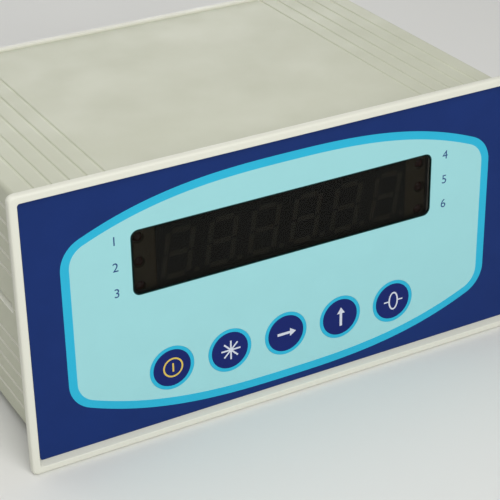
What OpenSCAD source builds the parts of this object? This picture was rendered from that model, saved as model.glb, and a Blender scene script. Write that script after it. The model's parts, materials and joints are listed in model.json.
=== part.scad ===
// Panel weighing indicator: a moulded bezel with a printed overlay, a smoked display window and
// five keys, on a two-part body with clamp slots in its sides and a terminal face at the back.
// X runs along the front, Y goes back into the body, Z is up. The origin is at the middle of the
// footprint, under the lower edge of the bezel.

/* [Front bezel] */
// Width of the bezel
bezel_w = 154; // [150:1:190]
// Height of the bezel
bezel_h = 80; // [78:1:96]
// Radius of the bezel's corners, seen from the front
bezel_corner_r = 1.6; // [1:0.1:4]
// Width of the raised rim round the overlay
rim_w = 2.2; // [1.6:0.1:3.5]
// Width of the rim's slope down to the overlay
rim_slope_w = 0.7; // [0.2:0.1:1.5]
// Depth of the overlay below the front of the rim
overlay_recess = 2; // [1:0.1:3]
// Thickness of the bezel's outer edge
bezel_edge_t = 1.8; // [1.2:0.1:3]
// Rounding of the bezel's front edge
bezel_round = 0.9; // [0.3:0.1:1.1]
// Thickness of the bezel plate behind the overlay
bezel_plate_t = 2; // [1.6:0.1:3]
// Inset of the panel seat from the bezel's outer edge
seat_inset = 1.8; // [1:0.1:3]
// Depth of the rebate that takes the front edges of the shells
rebate_d = 0.6; // [0.3:0.1:1]
// Step in the outer face of the shells where their front edges enter the rebate
lap_step = 0.5; // [0.3:0.1:0.8]
// Length of the skirt that enters the body
skirt_len = 9.5; // [8.5:0.5:12]
// Wall of the skirt
skirt_wall = 1.6; // [1.2:0.1:2]

/* [Overlay and window] */
// Thickness of the printed overlay
overlay_t = 0.5; // [0.3:0.05:0.8]
// Width of the display window
window_w = 90.2; // [88:0.2:100]
// Height of the display window
window_h = 18.2; // [16:0.1:20]
// Distance of the window's centre below the bezel's upper edge
window_drop = 27.4; // [24:0.1:30]
// Corner radius of the window
window_r = 1.9; // [1.7:0.1:4]
// Width of the window's hidden border
window_border = 1.6; // [1:0.1:1.9]
// Thickness of the window's hidden border
window_border_t = 0.6; // [0.4:0.1:1]

/* [Keys] */
// Distance between neighbouring keys
key_pitch = 17.3; // [15:0.1:19]
// Height of the key row over the bezel's lower edge
key_z = 18.9; // [17:0.1:21]
// Distance of the key row's middle to the left of the centre line
key_shift = 0.78; // [0:0.02:3]
// Radius of a key pad
key_r = 6.5; // [5:0.1:7]
// Thickness of the plunger's head behind the pad
plunger_head_t = 1.5; // [1:0.1:1.6]
// Radius of the plunger's stem
plunger_stem_r = 2; // [1.5:0.1:2.5]
// Side length of a tact switch
switch_side = 6; // [5:0.1:7]
// Height of a tact switch's case over the board
switch_h = 3.5; // [3:0.1:4]
// Radius of a tact switch's button
button_r = 1.75; // [1.2:0.05:1.9]
// Height of the button over its case
button_proud = 0.8; // [0.6:0.05:1.2]

/* [Display] */
// Width of a digit module
digit_w = 12.6; // [12:0.1:13]
// Height of a digit module
digit_h = 19; // [17:0.1:19.4]
// Depth of a digit module
digit_d = 8; // [7:0.1:9]
// Distance of the digits' centre below the window's centre
digit_drop = 0.8; // [0:0.1:1.8]
// Height of a figure on a digit module
figure_h = 14.2; // [12:0.1:15]
// Diameter of an indicator lamp
lamp_dia = 3; // [2:0.1:3]
// Distance between the lamps of a column
lamp_pitch = 7; // [5:0.1:7]
// Distance of the lamp columns from the outer digit modules
lamp_gap = 4.7; // [2.6:0.1:5]
// Thickness of a circuit board
board_t = 1.6; // [1:0.1:2]
// Radius of the bosses that carry the display board
boss_r = 3; // [2.6:0.1:4]

/* [Body] */
// Distance from the front of the rim to the outer face of the rear cover
body_d = 104; // [98:1:140]
// Inset of the body from the bezel's outer edge on all four sides
body_inset = 4.8; // [4:0.1:6.5]
// Wall of the body's shells
wall = 2.4; // [2:0.1:3]
// Corner radius of the body
body_corner_r = 1.2; // [0.6:0.1:2]
// Height of the clamp slots in the sides
slot_h = 3; // [2:0.1:4]
// Depth of the clamp slots
slot_depth = 2.6; // [2:0.1:3.5]
// Distance from the end of the skirt to the start of the clamp slots
slot_lead = 3.5; // [3.2:0.1:15]
// Distance of the first groove from the body's edge
groove_first = 5.8; // [4:0.1:7]
// Distance between neighbouring grooves
groove_pitch = 4.75; // [4:0.05:5]
// Width of a groove
groove_w = 0.9; // [0.5:0.05:1.5]
// Depth of a groove
groove_depth = 0.4; // [0.2:0.05:0.8]
// Radius of the posts that join the shells
post_r = 3.6; // [3.3:0.1:4]
// Radius of the shank of a shell screw
shell_screw_r = 1.5; // [1.2:0.05:1.6]
// Thickness of the rear cover
cover_t = 2.5; // [2:0.1:3.5]
// Height of the rear cover's edge over the body
cover_proud = 0.6; // [0.2:0.05:1]

/* [Main board] */
// Height of the board over the floor of the body
standoff_h = 6; // [5:0.1:8]
// Radius of a standoff
standoff_r = 3; // [2.5:0.1:4]
// Clearance between the ribbon header and the front edge of the main board
main_board_lead = 2; // [1:0.1:4]

/* [Terminals] */
// Distance between the poles of the supply and load cell terminals
wide_pitch = 5.08; // [4.9:0.01:5.2]
// Distance between the poles of the control terminal
narrow_pitch = 3.81; // [3.6:0.01:3.9]
// Poles of the supply terminal
power_poles = 3; // [2:1:3]
// Poles of the load cell terminal
cell_poles = 6; // [4:1:6]
// Poles of the control terminal
control_poles = 8; // [6:1:8]
// Height of a terminal header
header_h = 9; // [8.4:0.1:10]
// Depth of a terminal header
header_d = 12; // [11:0.1:13]
// Depth of a plug outside the rear cover
plug_proud = 11; // [9:0.1:14]
// Height of a plug outside the rear cover
plug_h = 12.6; // [11.5:0.1:14]

/* [Fuse] */
// Distance of the fuse holder's axis below the bezel's upper edge
fuse_drop = 24; // [20:0.5:26]
// Distance of the fuse holder's axis from the side of the body
fuse_inset = 24.2; // [20:0.1:30]
// Radius of the fuse holder's barrel
fuse_barrel_r = 6; // [5.6:0.1:7]
// Length of the fuse link
fuse_len = 20; // [20:0.1:25]
// Radius of the fuse link's end caps
fuse_r = 2.6; // [2.5:0.05:3]

/* [Transformer] */
// Width of the transformer's laminated core
core_w = 42; // [36:0.5:44]
// Thickness of the lamination stack
core_stack = 14.6; // [12:0.1:16]
// Clearance between the capacitors and the transformer
core_lead = 1; // [0.5:0.1:3]

/* [Hidden] */
$fn = 48;
hull_fn = 32;

// Colours
plastic = "#d6d6c6";
film_blue = "#213a70";
smoke = "#14140e";
board_green = "#1f5c38";
metal = "#b9bcc0";
black = "#1c1c1e";

// How far a cut runs past the face it opens
over = 0.5;
// Thickness of the thin slices that a rounded form is stretched between
slice = 0.05;
// Gap of a sliding or turning fit, and of a piece laid in its seat
fit = 0.1;
// Gap of a loose fit between moulded pieces
loose = 0.2;
// Free space behind the end of a screw or a plunger
end_gap = 0.5;

// Body
axis_z = bezel_h / 2;
body_w = bezel_w - 2 * body_inset;
body_h = bezel_h - 2 * body_inset;
plate_y = overlay_recess + overlay_t;
seat_y = plate_y + bezel_plate_t;
skirt_end = seat_y + skirt_len;
shell_end = body_d - cover_t;
shell_y = seat_y - rebate_d;
shell_len = shell_end - seat_y;
inner_w = body_w - 2 * wall;
inner_h = body_h - 2 * wall;
floor_z = body_inset + wall;
ceiling_z = bezel_h - body_inset - wall;
overall_d = body_d + plug_proud;
groove_count = 5;

// Bezel
overlay_w = bezel_w - 2 * rim_w - 2 * rim_slope_w - 2 * fit;
overlay_h = bezel_h - 2 * rim_w - 2 * rim_slope_w - 2 * fit;
overlay_r = 0.8;
round_share = 0.3;
skirt_w = inner_w - 2 * loose;
skirt_h = inner_h - 2 * loose;
snap_w = 14;
snap_d = 1.6;
snap_proud = 0.7;
snap_x_share = 0.3;
snap_y = skirt_end - snap_d - end_gap;

// Display
window_z = bezel_h - window_drop;
digit_z = window_z - digit_drop;
digit_count = 6;
lamp_x = digit_count * digit_w / 2 + lamp_gap;
digit_y = plate_y + window_border_t + loose;
display_y = digit_y + digit_d;
display_back = display_y + board_t;
opening_w = max(window_w - fit, 2 * lamp_x + lamp_dia + 2 * loose);
opening_h = digit_h + 2 * digit_drop + 2 * loose;
opening_r = window_r - window_border;
border_w = opening_w + 2 * window_border;
border_h = opening_h + 2 * window_border;
display_w = skirt_w - 2 * skirt_wall - 4 * loose;
display_h = skirt_h - 2 * skirt_wall - 4 * loose;
boss_x = display_w / 2 - boss_r;
boss_z = display_h / 2 - boss_r;
boss_bore_r = 1;
boss_bore_d = 5;
board_corner_r = 0.8;
board_hole_r = 1.6;
bar_w = 1.5;
bar_gap = 0.3;
bar_depth = 0.3;
figure_half_w = 3.6;
lean_share = 0.16;
digit_corner_r = 0.2;
digit_pins = 5;
digit_pin_r = 0.25;
digit_pin_pitch = 2.54;
digit_pin_row = 15.24;
pin_out = 1.4;
pin_gap = 0.15;
lamp_foot_rim = 0.35;
lamp_foot_h = 1;
holder_gap = 0.1;
holder_back = 0.2;
holder_d = digit_d - holder_back - lamp_foot_h;

// Keys
key_count = 5;
key_first_x = -key_shift - key_pitch * (key_count - 1) / 2;
key_hole_r = key_r + fit;
key_well_r = key_r + 2 * loose;
plunger_head_r = key_r - fit;
plunger_rib_t = 0.8;
plunger_rib_r = plunger_head_r - plunger_rib_t;
switch_y = display_y - switch_h;
switch_corner_r = 0.4;
switch_pin_r = 0.4;
switch_pin_at = switch_side / 2 - switch_pin_r - switch_corner_r;
button_bore_r = button_r + fit;
button_in = 1;

// Clamp slots and the ribs that close them inside
slot_start = skirt_end + slot_lead;
rib_w = slot_depth + wall;
rib_h = slot_h + 2 * wall;
rib_start = slot_start - wall;
tongue_w = 0.9;
tongue_h = 1;

// Screws
screw_head_r = 2.8;
screw_head_h = 2;
screw_bite = 9;
core_share = 0.85;
driver_slot_w = 0.6;
driver_slot_d = 0.7;
display_head_r = 2.4;

// Rear cover
cover_screw_r = 1.4;
cover_screw_len = 8;
cover_boss_r = 3.2;
cover_boss_len = cover_screw_len + end_gap;
cover_boss_x = inner_w / 2 - cover_boss_r + fit;
cover_boss_z = inner_h / 2 - cover_boss_r + fit;
cover_head_r = 2.6;
cover_head_h = 1.6;
cover_lip = 2;
cover_lip_t = 1.4;
cover_round = 0.5;

// Main board
header_14_w = 22;
header_14_d = 8.6;
header_14_h = 9;
main_board_w = inner_w - 4 * cover_boss_r - 2 * loose;
main_board_y = display_back + header_14_h + main_board_lead;
main_board_end = shell_end - cover_lip - 3 * end_gap;
board_z = floor_z + standoff_h;
board_top = board_z + board_t;
board_screw_r = 1.4;
board_screw_len = 6;
board_head_r = 2.6;
board_screw_inset = 5;
board_screw_lead = 14;
board_screw_tail = 12;
post_x = inner_w / 2 - slot_depth - wall - post_r + 2 * end_gap;
post_front_y = main_board_y + post_r;
post_rear_y = shell_end - 2 * cover_boss_len;

// Ribbon
ribbon_w = 17.8;
ribbon_t = 0.9;
ribbon_bend = 4;
ribbon_z = 30;
ribbon_x = -main_board_w / 4;
ribbon_y = display_back + header_14_h;
ribbon_drop_y = main_board_y + 1.5 * header_14_d;

// Terminals
header_wall = 1;
header_end_w = 1.2;
header_base = 2.6;
terminal_pin = 1;
terminal_pin_len = 6.4;
plug_gap = 0.15;
wire_w_share = 0.55;
wire_depth_share = 0.8;
wire_h = 3;
wire_z = 3.4;
notch_w_share = 0.16;
notch_z_share = 0.6;
notch_depth = 1.4;
clamp_r_share = 0.35;
clamp_y_share = 0.45;
clamp_screw_len = 5.4;
clamp_screw_sink = 0.4;
clamp_y = body_d + plug_gap + (plug_proud - plug_gap) * clamp_y_share;
power_w = power_poles * wide_pitch + 2 * header_end_w;
cell_w = cell_poles * wide_pitch + 2 * header_end_w;
control_w = control_poles * narrow_pitch + 2 * header_end_w;

// Serial port
serial_flange_w = 30.8;
serial_flange_h = 12.5;
serial_flange_t = 0.8;
serial_proud = 5.8;
serial_back = 9;
serial_half_w = 8.4;
serial_half_h = 4.1;
serial_taper = 0.75;
serial_r = 1.6;
serial_pin_r = 0.55;
serial_pin_pitch = 2.77;
serial_row_z = 1.42;
serial_pocket = 5.3;
jack_x = 12.5;
jack_r = 2.7;
jack_len = 5;
jack_bore_r = 1.2;
jack_shank_r = 1.5;
serial_z = board_top + serial_flange_h / 2;

// Places along the rear edge of the main board, with equal gaps
rear_gap = (main_board_w - power_w - cell_w - control_w - serial_flange_w) / 5;
cell_x = -main_board_w / 2 + rear_gap + cell_w / 2;
control_x = cell_x + cell_w / 2 + rear_gap + control_w / 2;
serial_x = control_x + control_w / 2 + rear_gap + serial_flange_w / 2;
power_x = serial_x + serial_flange_w / 2 + rear_gap + power_w / 2;

// Fuse holder
fuse_z = bezel_h - fuse_drop;
fuse_x = body_w / 2 - fuse_inset;
fuse_wall = 1.1;
fuse_bore_r = fuse_barrel_r - fuse_wall;
fuse_flange_r = fuse_barrel_r + 1.5 * fuse_wall;
fuse_flange_t = 2;
fuse_nut_r = fuse_barrel_r + 2 * fuse_wall;
fuse_nut_t = 2.2;
fuse_lug_w = 4;
fuse_lug_t = 0.8;
fuse_lug_len = 5;
fuse_cap_r = fuse_barrel_r - 2 * fit;
fuse_cap_len = 6.6;
fuse_carrier_len = 13;
fuse_carrier_r = fuse_bore_r - fit;
fuse_seat = 5;
fuse_end_len = 5;
fuse_glass_r = fuse_r - loose;
grip_r = 0.5;
grip_count = 18;
fuse_cap_y = body_d + fuse_flange_t + loose;
fuse_link_y = fuse_cap_y - fuse_carrier_len + fuse_seat - fuse_len;
fuse_barrel_y = fuse_link_y - fit - fuse_wall;

// Filter capacitors
cap_r = 6.4;
cap_h = 22;
small_cap_r = 4;
small_cap_h = 12;
cap_gap = 1;
cap_lead = 10;
cap_y = main_board_y + cap_lead;
cap_back = cap_y + 2 * small_cap_r + cap_gap / 2;

// Transformer, in the proportions of a waste-free lamination
leg_share = 1 / 3;
core_leg = core_w * leg_share;
core_yoke = core_leg / 2;
core_gap = core_yoke;
core_h_share = 5;
core_h = core_yoke * core_h_share;
bobbin_wall = 1;
bobbin_h = core_h - 2 * core_yoke - 2 * fit;
bobbin_z = board_top + core_yoke + fit;
bobbin_reach = core_gap - loose;
winding_reach = bobbin_reach - loose;
bobbin_pin_r = 0.5;
bobbin_pin_pitch = 5;
core_inset = 8;
core_x = main_board_w / 2 - core_w / 2 - core_inset;
core_y = cap_back + core_lead + bobbin_reach + core_stack / 2;

// Other parts of the main board
can_w = 34;
can_d = 17;
can_h = 9;
can_sheet = 0.4;
can_hole_r = 1.1;
can_hole_pitch = 5;
relay_w = 10.4;
relay_d = 15;
relay_h = 12.5;
relay_gap = 1.2;
relay_count = 3;
can_x_share = 0.3;
can_x = -main_board_w * can_x_share;
row_front = ribbon_drop_y + header_14_d / 2;
row_gap = (body_d - header_d - row_front - can_d - relay_d) / 3;
can_y = row_front + row_gap;
relay_y = can_y + can_d + row_gap;
regulator_w = 10;
regulator_t = 4.4;
regulator_h = 9;
regulator_leg = 4;
regulator_leg_w = 0.8;
regulator_pitch = 2.54;
tab_h = 6;
tab_t = 1.3;
tab_hole_r = 1.8;
regulator_lead = 33.5;
regulator_y = main_board_y + regulator_lead;
sink_w = 22;
sink_h = 24;
sink_base = 2;
sink_fin_t = 1.2;
sink_fin_len = 9;
sink_fins = 6;
sink_gap = 1.7;
regulator_x = core_x - core_w / 2 - sink_w / 2 - sink_gap;
processor_side = 14;
processor_h = 1.6;
memory_w = 5;
memory_d = 4;
driver_chip_w = 15.4;
driver_chip_d = 7.5;
driver_chip_lead = 8;
converter_w = 7.5;
converter_d = 10.3;
chip_h = 2.4;
processor_x = -13;
processor_lead = 18;

// Puts the pieces, which are drawn from the front of the rim, round the middle of the footprint
module place() {
    translate([0, -overall_d / 2, 0]) children();
}

// A flat outline, X and Z, drawn out along Y
module along_y(y, length) {
    translate([0, y + length, 0]) rotate([90, 0, 0]) linear_extrude(length) children();
}

// A rectangle with round corners, centred
module rounded_rect(w, h, r) {
    square([w - 2 * r, h], center = true);
    square([w, h - 2 * r], center = true);
    for (x = [-1, 1], y = [-1, 1])
        translate([x * (w / 2 - r), y * (h / 2 - r)]) circle(r);
}

// A slab with round corners in the plane of the front, centred on the given height
module slab(w, h, r, y, t, z = axis_z) {
    translate([0, 0, z]) along_y(y, t) rounded_rect(w, h, r);
}

// A box centred on X, from the given depth and height
module block(w, d, h, x, y, z) {
    translate([x - w / 2, y, z]) cube([w, d, h]);
}

// A cylinder along Y
module rod_y(r, length, x, y, z) {
    translate([x, y, z]) rotate([-90, 0, 0]) cylinder(r = r, h = length);
}

// A cylinder along Z
module rod_z(r, length, x, y, z) {
    translate([x, y, z]) cylinder(r = r, h = length);
}

module at_corners(x, z) {
    for (i = [-1, 1], k = [-1, 1])
        translate([i * x, 0, axis_z + k * z]) children();
}

// The cross recess of a screw whose head ends at the given depth
module cross_y(r, y) {
    for (a = [0, 90])
        translate([0, y, 0]) rotate([0, a, 0])
            block(r, driver_slot_d + over, driver_slot_w, 0, -driver_slot_d, -driver_slot_w / 2);
}

function key_x(i) = key_first_x + (i - 1) * key_pitch;
function digit_x(i) = (i - 1 - (digit_count - 1) / 2) * digit_w;

// Front bezel: rounded rim with a chamfered back, recess for the overlay, openings, skirt, bosses

module bezel_rim() {
    front = 2 * bezel_round;
    bulge = front * round_share;
    hull() {
        slab(bezel_w - front, bezel_h - front, bezel_corner_r, 0, slice, $fn = hull_fn);
        slab(bezel_w - bulge, bezel_h - bulge, bezel_corner_r, bulge / 2, slice, $fn = hull_fn);
        slab(bezel_w, bezel_h, bezel_corner_r, bezel_round, bezel_edge_t - bezel_round, $fn = hull_fn);
    }
    hull() {
        slab(bezel_w, bezel_h, bezel_corner_r, bezel_edge_t - slice, slice, $fn = hull_fn);
        slab(bezel_w - 2 * seat_inset, bezel_h - 2 * seat_inset, bezel_corner_r, seat_y - slice, slice,
            $fn = hull_fn);
    }
}

module bezel_recess() {
    hull() {
        slab(bezel_w - 2 * rim_w, bezel_h - 2 * rim_w, overlay_r, -over, over, $fn = hull_fn);
        slab(bezel_w - 2 * rim_w - 2 * rim_slope_w, bezel_h - 2 * rim_w - 2 * rim_slope_w, overlay_r,
            overlay_recess, slice, $fn = hull_fn);
    }
    slab(overlay_w + 2 * fit, overlay_h + 2 * fit, overlay_r, overlay_recess, overlay_t);
}

module at_snaps() {
    for (x = [-1, 1], k = [-1, 1])
        translate([x * display_w * snap_x_share, snap_y, axis_z + k * skirt_h / 2]) children();
}

module shell_rebate() {
    difference() {
        slab(body_w + 2 * fit, body_h + 2 * fit, body_corner_r + fit, shell_y, rebate_d + over);
        slab(skirt_w, skirt_h, body_corner_r, shell_y - over, rebate_d + 3 * over);
    }
}

module bezel_skirt() {
    difference() {
        slab(skirt_w, skirt_h, body_corner_r, seat_y - over, skirt_len + over);
        slab(skirt_w - 2 * skirt_wall, skirt_h - 2 * skirt_wall, body_corner_r, seat_y - 2 * over,
            skirt_len + 3 * over);
    }
    at_snaps() block(snap_w, snap_d, 2 * snap_proud, 0, 0, -snap_proud);
}

module front_bezel() {
    place() color(plastic) {
        difference() {
            bezel_rim();
            bezel_recess();
            shell_rebate();
            slab(border_w + 2 * fit, border_h + 2 * fit, window_r, plate_y - over,
                window_border_t + over, window_z);
            slab(opening_w, opening_h, opening_r, plate_y, bezel_plate_t + over, window_z);
            for (i = [1 : key_count])
                rod_y(key_well_r, bezel_plate_t + 2 * over, key_x(i), plate_y - over, key_z);
        }
        bezel_skirt();
        at_corners(boss_x, boss_z) difference() {
            rod_y(boss_r, display_y - seat_y + over, 0, seat_y - over, 0);
            rod_y(boss_bore_r, boss_bore_d + over, 0, display_y - boss_bore_d, 0);
        }
    }
}

module front_overlay() {
    place() color(film_blue) difference() {
        slab(overlay_w, overlay_h, overlay_r, overlay_recess, overlay_t);
        slab(window_w, window_h, window_r, overlay_recess - over, overlay_t + 2 * over, window_z);
        for (i = [1 : key_count])
            rod_y(key_hole_r, overlay_t + 2 * over, key_x(i), overlay_recess - over, key_z);
    }
}

module display_window() {
    place() color(smoke) {
        slab(window_w - 2 * fit, window_h - 2 * fit, window_r - fit, overlay_recess, overlay_t, window_z);
        slab(border_w, border_h, window_r, plate_y, window_border_t, window_z);
    }
}

// Keys: a printed pad, the plunger behind it and the button of its tact switch

module key_pad(i) {
    place() color(film_blue) rod_y(key_r, overlay_t, key_x(i), overlay_recess, key_z);
}

module key_plunger(i) {
    place() color(metal) translate([key_x(i), 0, key_z]) {
        rod_y(plunger_head_r, plunger_head_t, 0, plate_y, 0);
        rod_y(plunger_stem_r, switch_y - button_proud - plate_y, 0, plate_y, 0);
        for (a = [0, 90])
            rotate([0, a, 0]) block(2 * plunger_rib_r, plunger_rib_t, plunger_rib_t, 0,
                plate_y + plunger_head_t, -plunger_rib_t / 2);
    }
}

module switch_button(i) {
    place() color(black)
        rod_y(button_r, button_proud + button_in, key_x(i), switch_y - button_proud, key_z);
}

module at_switch_pins() {
    for (i = [1 : key_count], x = [-1, 1], z = [-1, 1])
        translate([key_x(i) + x * switch_pin_at, display_y, key_z + z * switch_pin_at]) children();
}

module tact_switches() {
    place() color(black) {
        for (i = [1 : key_count])
            translate([key_x(i), 0, key_z]) difference() {
                slab(switch_side, switch_side, switch_corner_r, switch_y, switch_h, 0);
                rod_y(button_bore_r, button_in + end_gap + over, 0, switch_y - over, 0);
            }
        at_switch_pins() rod_y(switch_pin_r, pin_out + board_t, 0, 0, 0);
    }
}

// Display board with its digit modules and lamps

module at_digit_pins() {
    middle = (digit_pins + 1) / 2;
    for (p = [1 : digit_pins], z = [-1, 1])
        translate([(p - middle) * digit_pin_pitch, display_y, z * digit_pin_row / 2]) children();
}

module display_board() {
    place() color(board_green) difference() {
        slab(display_w, display_h, board_corner_r, display_y, board_t);
        at_corners(boss_x, boss_z)
            rod_y(board_hole_r, board_t + 2 * over, 0, display_y - over, 0);
        at_switch_pins() rod_y(switch_pin_r + pin_gap, board_t + 2 * over, 0, -over, 0);
        for (i = [1 : digit_count])
            translate([digit_x(i), 0, digit_z])
                at_digit_pins() rod_y(digit_pin_r + pin_gap, board_t + 2 * over, 0, -over, 0);
    }
}

// The seven bars and the point of a figure that leans to the right
module figure_outline() {
    half_h = (figure_h - bar_w) / 2;
    bar_len = 2 * figure_half_w - bar_w - 2 * bar_gap;
    multmatrix([[1, lean_share, 0, 0], [0, 1, 0, 0], [0, 0, 1, 0]]) {
        for (z = [-1, 0, 1])
            translate([-bar_len / 2, z * half_h - bar_w / 2]) square([bar_len, bar_w]);
        for (x = [-1, 1], z = [-1, 0])
            translate([x * figure_half_w - bar_w / 2, z * half_h + bar_gap])
                square([bar_w, half_h - 2 * bar_gap]);
    }
    translate([figure_half_w + bar_w, -half_h]) circle(bar_w / 2);
}

module digit_module(i) {
    place() color(black) translate([digit_x(i), 0, digit_z]) {
        difference() {
            slab(digit_w, digit_h, digit_corner_r, digit_y, digit_d, 0);
            along_y(digit_y - over, bar_depth + over) figure_outline();
        }
        at_digit_pins() rod_y(digit_pin_r, pin_out + board_t, 0, 0, 0);
    }
}

module indicator_lamps() {
    r = lamp_dia / 2;
    place() color("firebrick") for (side = [-1, 1], k = [-1 : 1])
        translate([side * lamp_x, digit_y, digit_z + k * lamp_pitch]) {
            translate([0, r, 0]) sphere(r);
            rod_y(r, digit_d - r, 0, r, 0);
            rod_y(r + lamp_foot_rim, lamp_foot_h, 0, digit_d - lamp_foot_h, 0);
        }
}

module lamp_holders() {
    w = opening_w / 2 - digit_count * digit_w / 2 - 2 * fit;
    x = opening_w / 2 - fit - w / 2;
    place() color("darkolivegreen") for (side = [-1, 1]) difference() {
        translate([side * x, 0, digit_z])
            slab(w, digit_h, digit_corner_r, digit_y + holder_back, holder_d, 0);
        for (k = [-1 : 1])
            translate([side * lamp_x, 0, digit_z + k * lamp_pitch])
                rod_y(lamp_dia / 2 + holder_gap, digit_d, 0, digit_y, 0);
    }
}

module display_screws() {
    place() color(metal) at_corners(boss_x, boss_z) difference() {
        union() {
            rod_y(boss_bore_r, boss_bore_d - end_gap + board_t, 0, display_y - boss_bore_d + end_gap, 0);
            rod_y(display_head_r, screw_head_h, 0, display_back, 0);
        }
        cross_y(display_head_r, display_back + screw_head_h);
    }
}

// Ribbon between the display board and the main board, with its two headers

module ribbon_headers() {
    place() color(black) {
        block(header_14_w, header_14_h, header_14_d, ribbon_x, display_back, ribbon_z - header_14_d / 2);
        block(header_14_w, header_14_d, header_14_h, ribbon_x, ribbon_drop_y - header_14_d / 2, board_top);
    }
}

module ribbon_cable() {
    foot_z = board_top + header_14_h;
    bend_y = ribbon_drop_y - ribbon_bend;
    bend_z = ribbon_z - ribbon_bend;
    place() color("silver") {
        block(ribbon_w, bend_y - ribbon_y, ribbon_t, ribbon_x, ribbon_y, ribbon_z - ribbon_t / 2);
        block(ribbon_w, ribbon_t, bend_z - foot_z, ribbon_x, ribbon_drop_y - ribbon_t / 2, foot_z);
        translate([ribbon_x - ribbon_w / 2, bend_y, bend_z]) rotate([90, 0, 90])
            linear_extrude(ribbon_w) intersection() {
                difference() {
                    circle(ribbon_bend + ribbon_t / 2);
                    circle(ribbon_bend - ribbon_t / 2);
                }
                square(ribbon_bend + ribbon_t);
            }
    }
}

// Body: two shells that meet inside the clamp slots

module body_section(step = 0) {
    difference() {
        rounded_rect(body_w - 2 * step, body_h - 2 * step, body_corner_r);
        square([inner_w, inner_h], center = true);
    }
}

module slot_ribs() {
    for (x = [-1, 1])
        translate([x * (body_w - rib_w - wall) / 2, 0]) square([rib_w, rib_h], center = true);
}

module slot_cuts() {
    for (x = [-1, 1])
        translate([x * body_w / 2, 0]) square([2 * slot_depth, slot_h], center = true);
}

module groove_cuts() {
    for (x = [-1, 1], z = [-1, 1], i = [0 : groove_count - 1]) {
        translate([x * (body_w / 2 - groove_first - i * groove_pitch), z * body_h / 2])
            square([groove_w, 2 * groove_depth], center = true);
        translate([x * body_w / 2, z * (body_h / 2 - groove_first - i * groove_pitch)])
            square([2 * groove_depth, groove_w], center = true);
    }
}

module body_tube() {
    difference() {
        union() {
            translate([0, 0, axis_z]) along_y(seat_y, shell_len) body_section();
            translate([0, 0, axis_z]) along_y(shell_y, rebate_d + over) body_section(lap_step);
            translate([0, 0, axis_z]) along_y(rib_start, shell_end - rib_start) slot_ribs();
            at_corners(cover_boss_x, cover_boss_z)
                rod_y(cover_boss_r, cover_boss_len, 0, shell_end - cover_boss_len, 0);
        }
        translate([0, 0, axis_z]) along_y(slot_start, shell_end - slot_start + over) slot_cuts();
        translate([0, 0, axis_z]) along_y(seat_y - over, shell_len + 2 * over) groove_cuts();
        at_corners(cover_boss_x, cover_boss_z)
            rod_y(cover_screw_r * core_share, cover_boss_len + over, 0, body_d - cover_boss_len, 0);
        at_snaps() block(snap_w + 2 * fit, snap_d + 2 * fit, 2 * (snap_proud + fit), 0, -fit,
            -snap_proud - fit);
    }
}

module shell_half(from_z, to_z) {
    intersection() {
        body_tube();
        block(body_w + 2 * over, body_d, to_z - from_z, 0, 0, from_z);
    }
}

module tongue(gap) {
    for (x = [-1, 1])
        block(tongue_w + 2 * gap, shell_end - slot_start - cover_lip, tongue_h + over + gap,
            x * (body_w / 2 - slot_depth - wall / 2), slot_start, axis_z - over);
}

module at_posts() {
    for (x = [-1, 1], y = [post_front_y, post_rear_y])
        translate([x * post_x, y, 0]) children();
}

module at_standoffs() {
    for (x = [-1, 1], y = [post_front_y + board_screw_lead, post_rear_y - board_screw_tail])
        translate([x * (main_board_w / 2 - board_screw_inset), y, 0]) children();
}

module upper_shell() {
    place() color(plastic) difference() {
        union() {
            shell_half(axis_z, bezel_h);
            at_posts() rod_z(post_r, ceiling_z - axis_z + over, 0, 0, axis_z);
        }
        tongue(fit);
        at_posts() rod_z(shell_screw_r * core_share, screw_bite + over, 0, 0, axis_z - over);
    }
}

module lower_shell() {
    counterbore = screw_head_h + 2 * loose;
    screw_reach = board_screw_len - board_t + end_gap;
    place() color(plastic) {
        difference() {
            union() {
                shell_half(0, axis_z);
                at_posts() rod_z(post_r, axis_z - floor_z + over, 0, 0, floor_z - over);
                at_standoffs() rod_z(standoff_r, standoff_h + over, 0, 0, floor_z - over);
            }
            at_posts() {
                rod_z(shell_screw_r + loose, axis_z, 0, 0, over);
                rod_z(screw_head_r + loose, counterbore + over, 0, 0, body_inset - over);
            }
            at_standoffs() rod_z(board_screw_r * core_share, screw_reach + over, 0, 0, board_z - screw_reach);
        }
        tongue(0);
    }
}

module shell_screws() {
    head_z = body_inset + 2 * loose;
    place() color(metal) at_posts() difference() {
        union() {
            rod_z(screw_head_r, screw_head_h, 0, 0, head_z);
            rod_z(shell_screw_r * core_share, axis_z + screw_bite - end_gap - head_z, 0, 0, head_z);
        }
        for (a = [0, 90])
            rotate([0, 0, a]) block(screw_head_r, driver_slot_w, driver_slot_d + over, 0,
                -driver_slot_w / 2, head_z - over);
    }
}

// Rear cover, with openings for the terminals, the serial port and the fuse holder

module header_cut(w, x) {
    block(w + 2 * loose, cover_t + 2 * over, header_h + 2 * loose, x, shell_end - over, board_top - loose);
}

// The mouth of a nine-pole connector, wider at the top
module serial_outline(gap) {
    high_x = serial_half_w - serial_r;
    low_x = high_x - serial_taper;
    mid_z = serial_half_h - serial_r;
    hull() {
        for (x = [-1, 1]) {
            translate([x * high_x, mid_z]) circle(serial_r + gap, $fn = hull_fn);
            translate([x * low_x, -mid_z]) circle(serial_r + gap, $fn = hull_fn);
        }
    }
}

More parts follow.
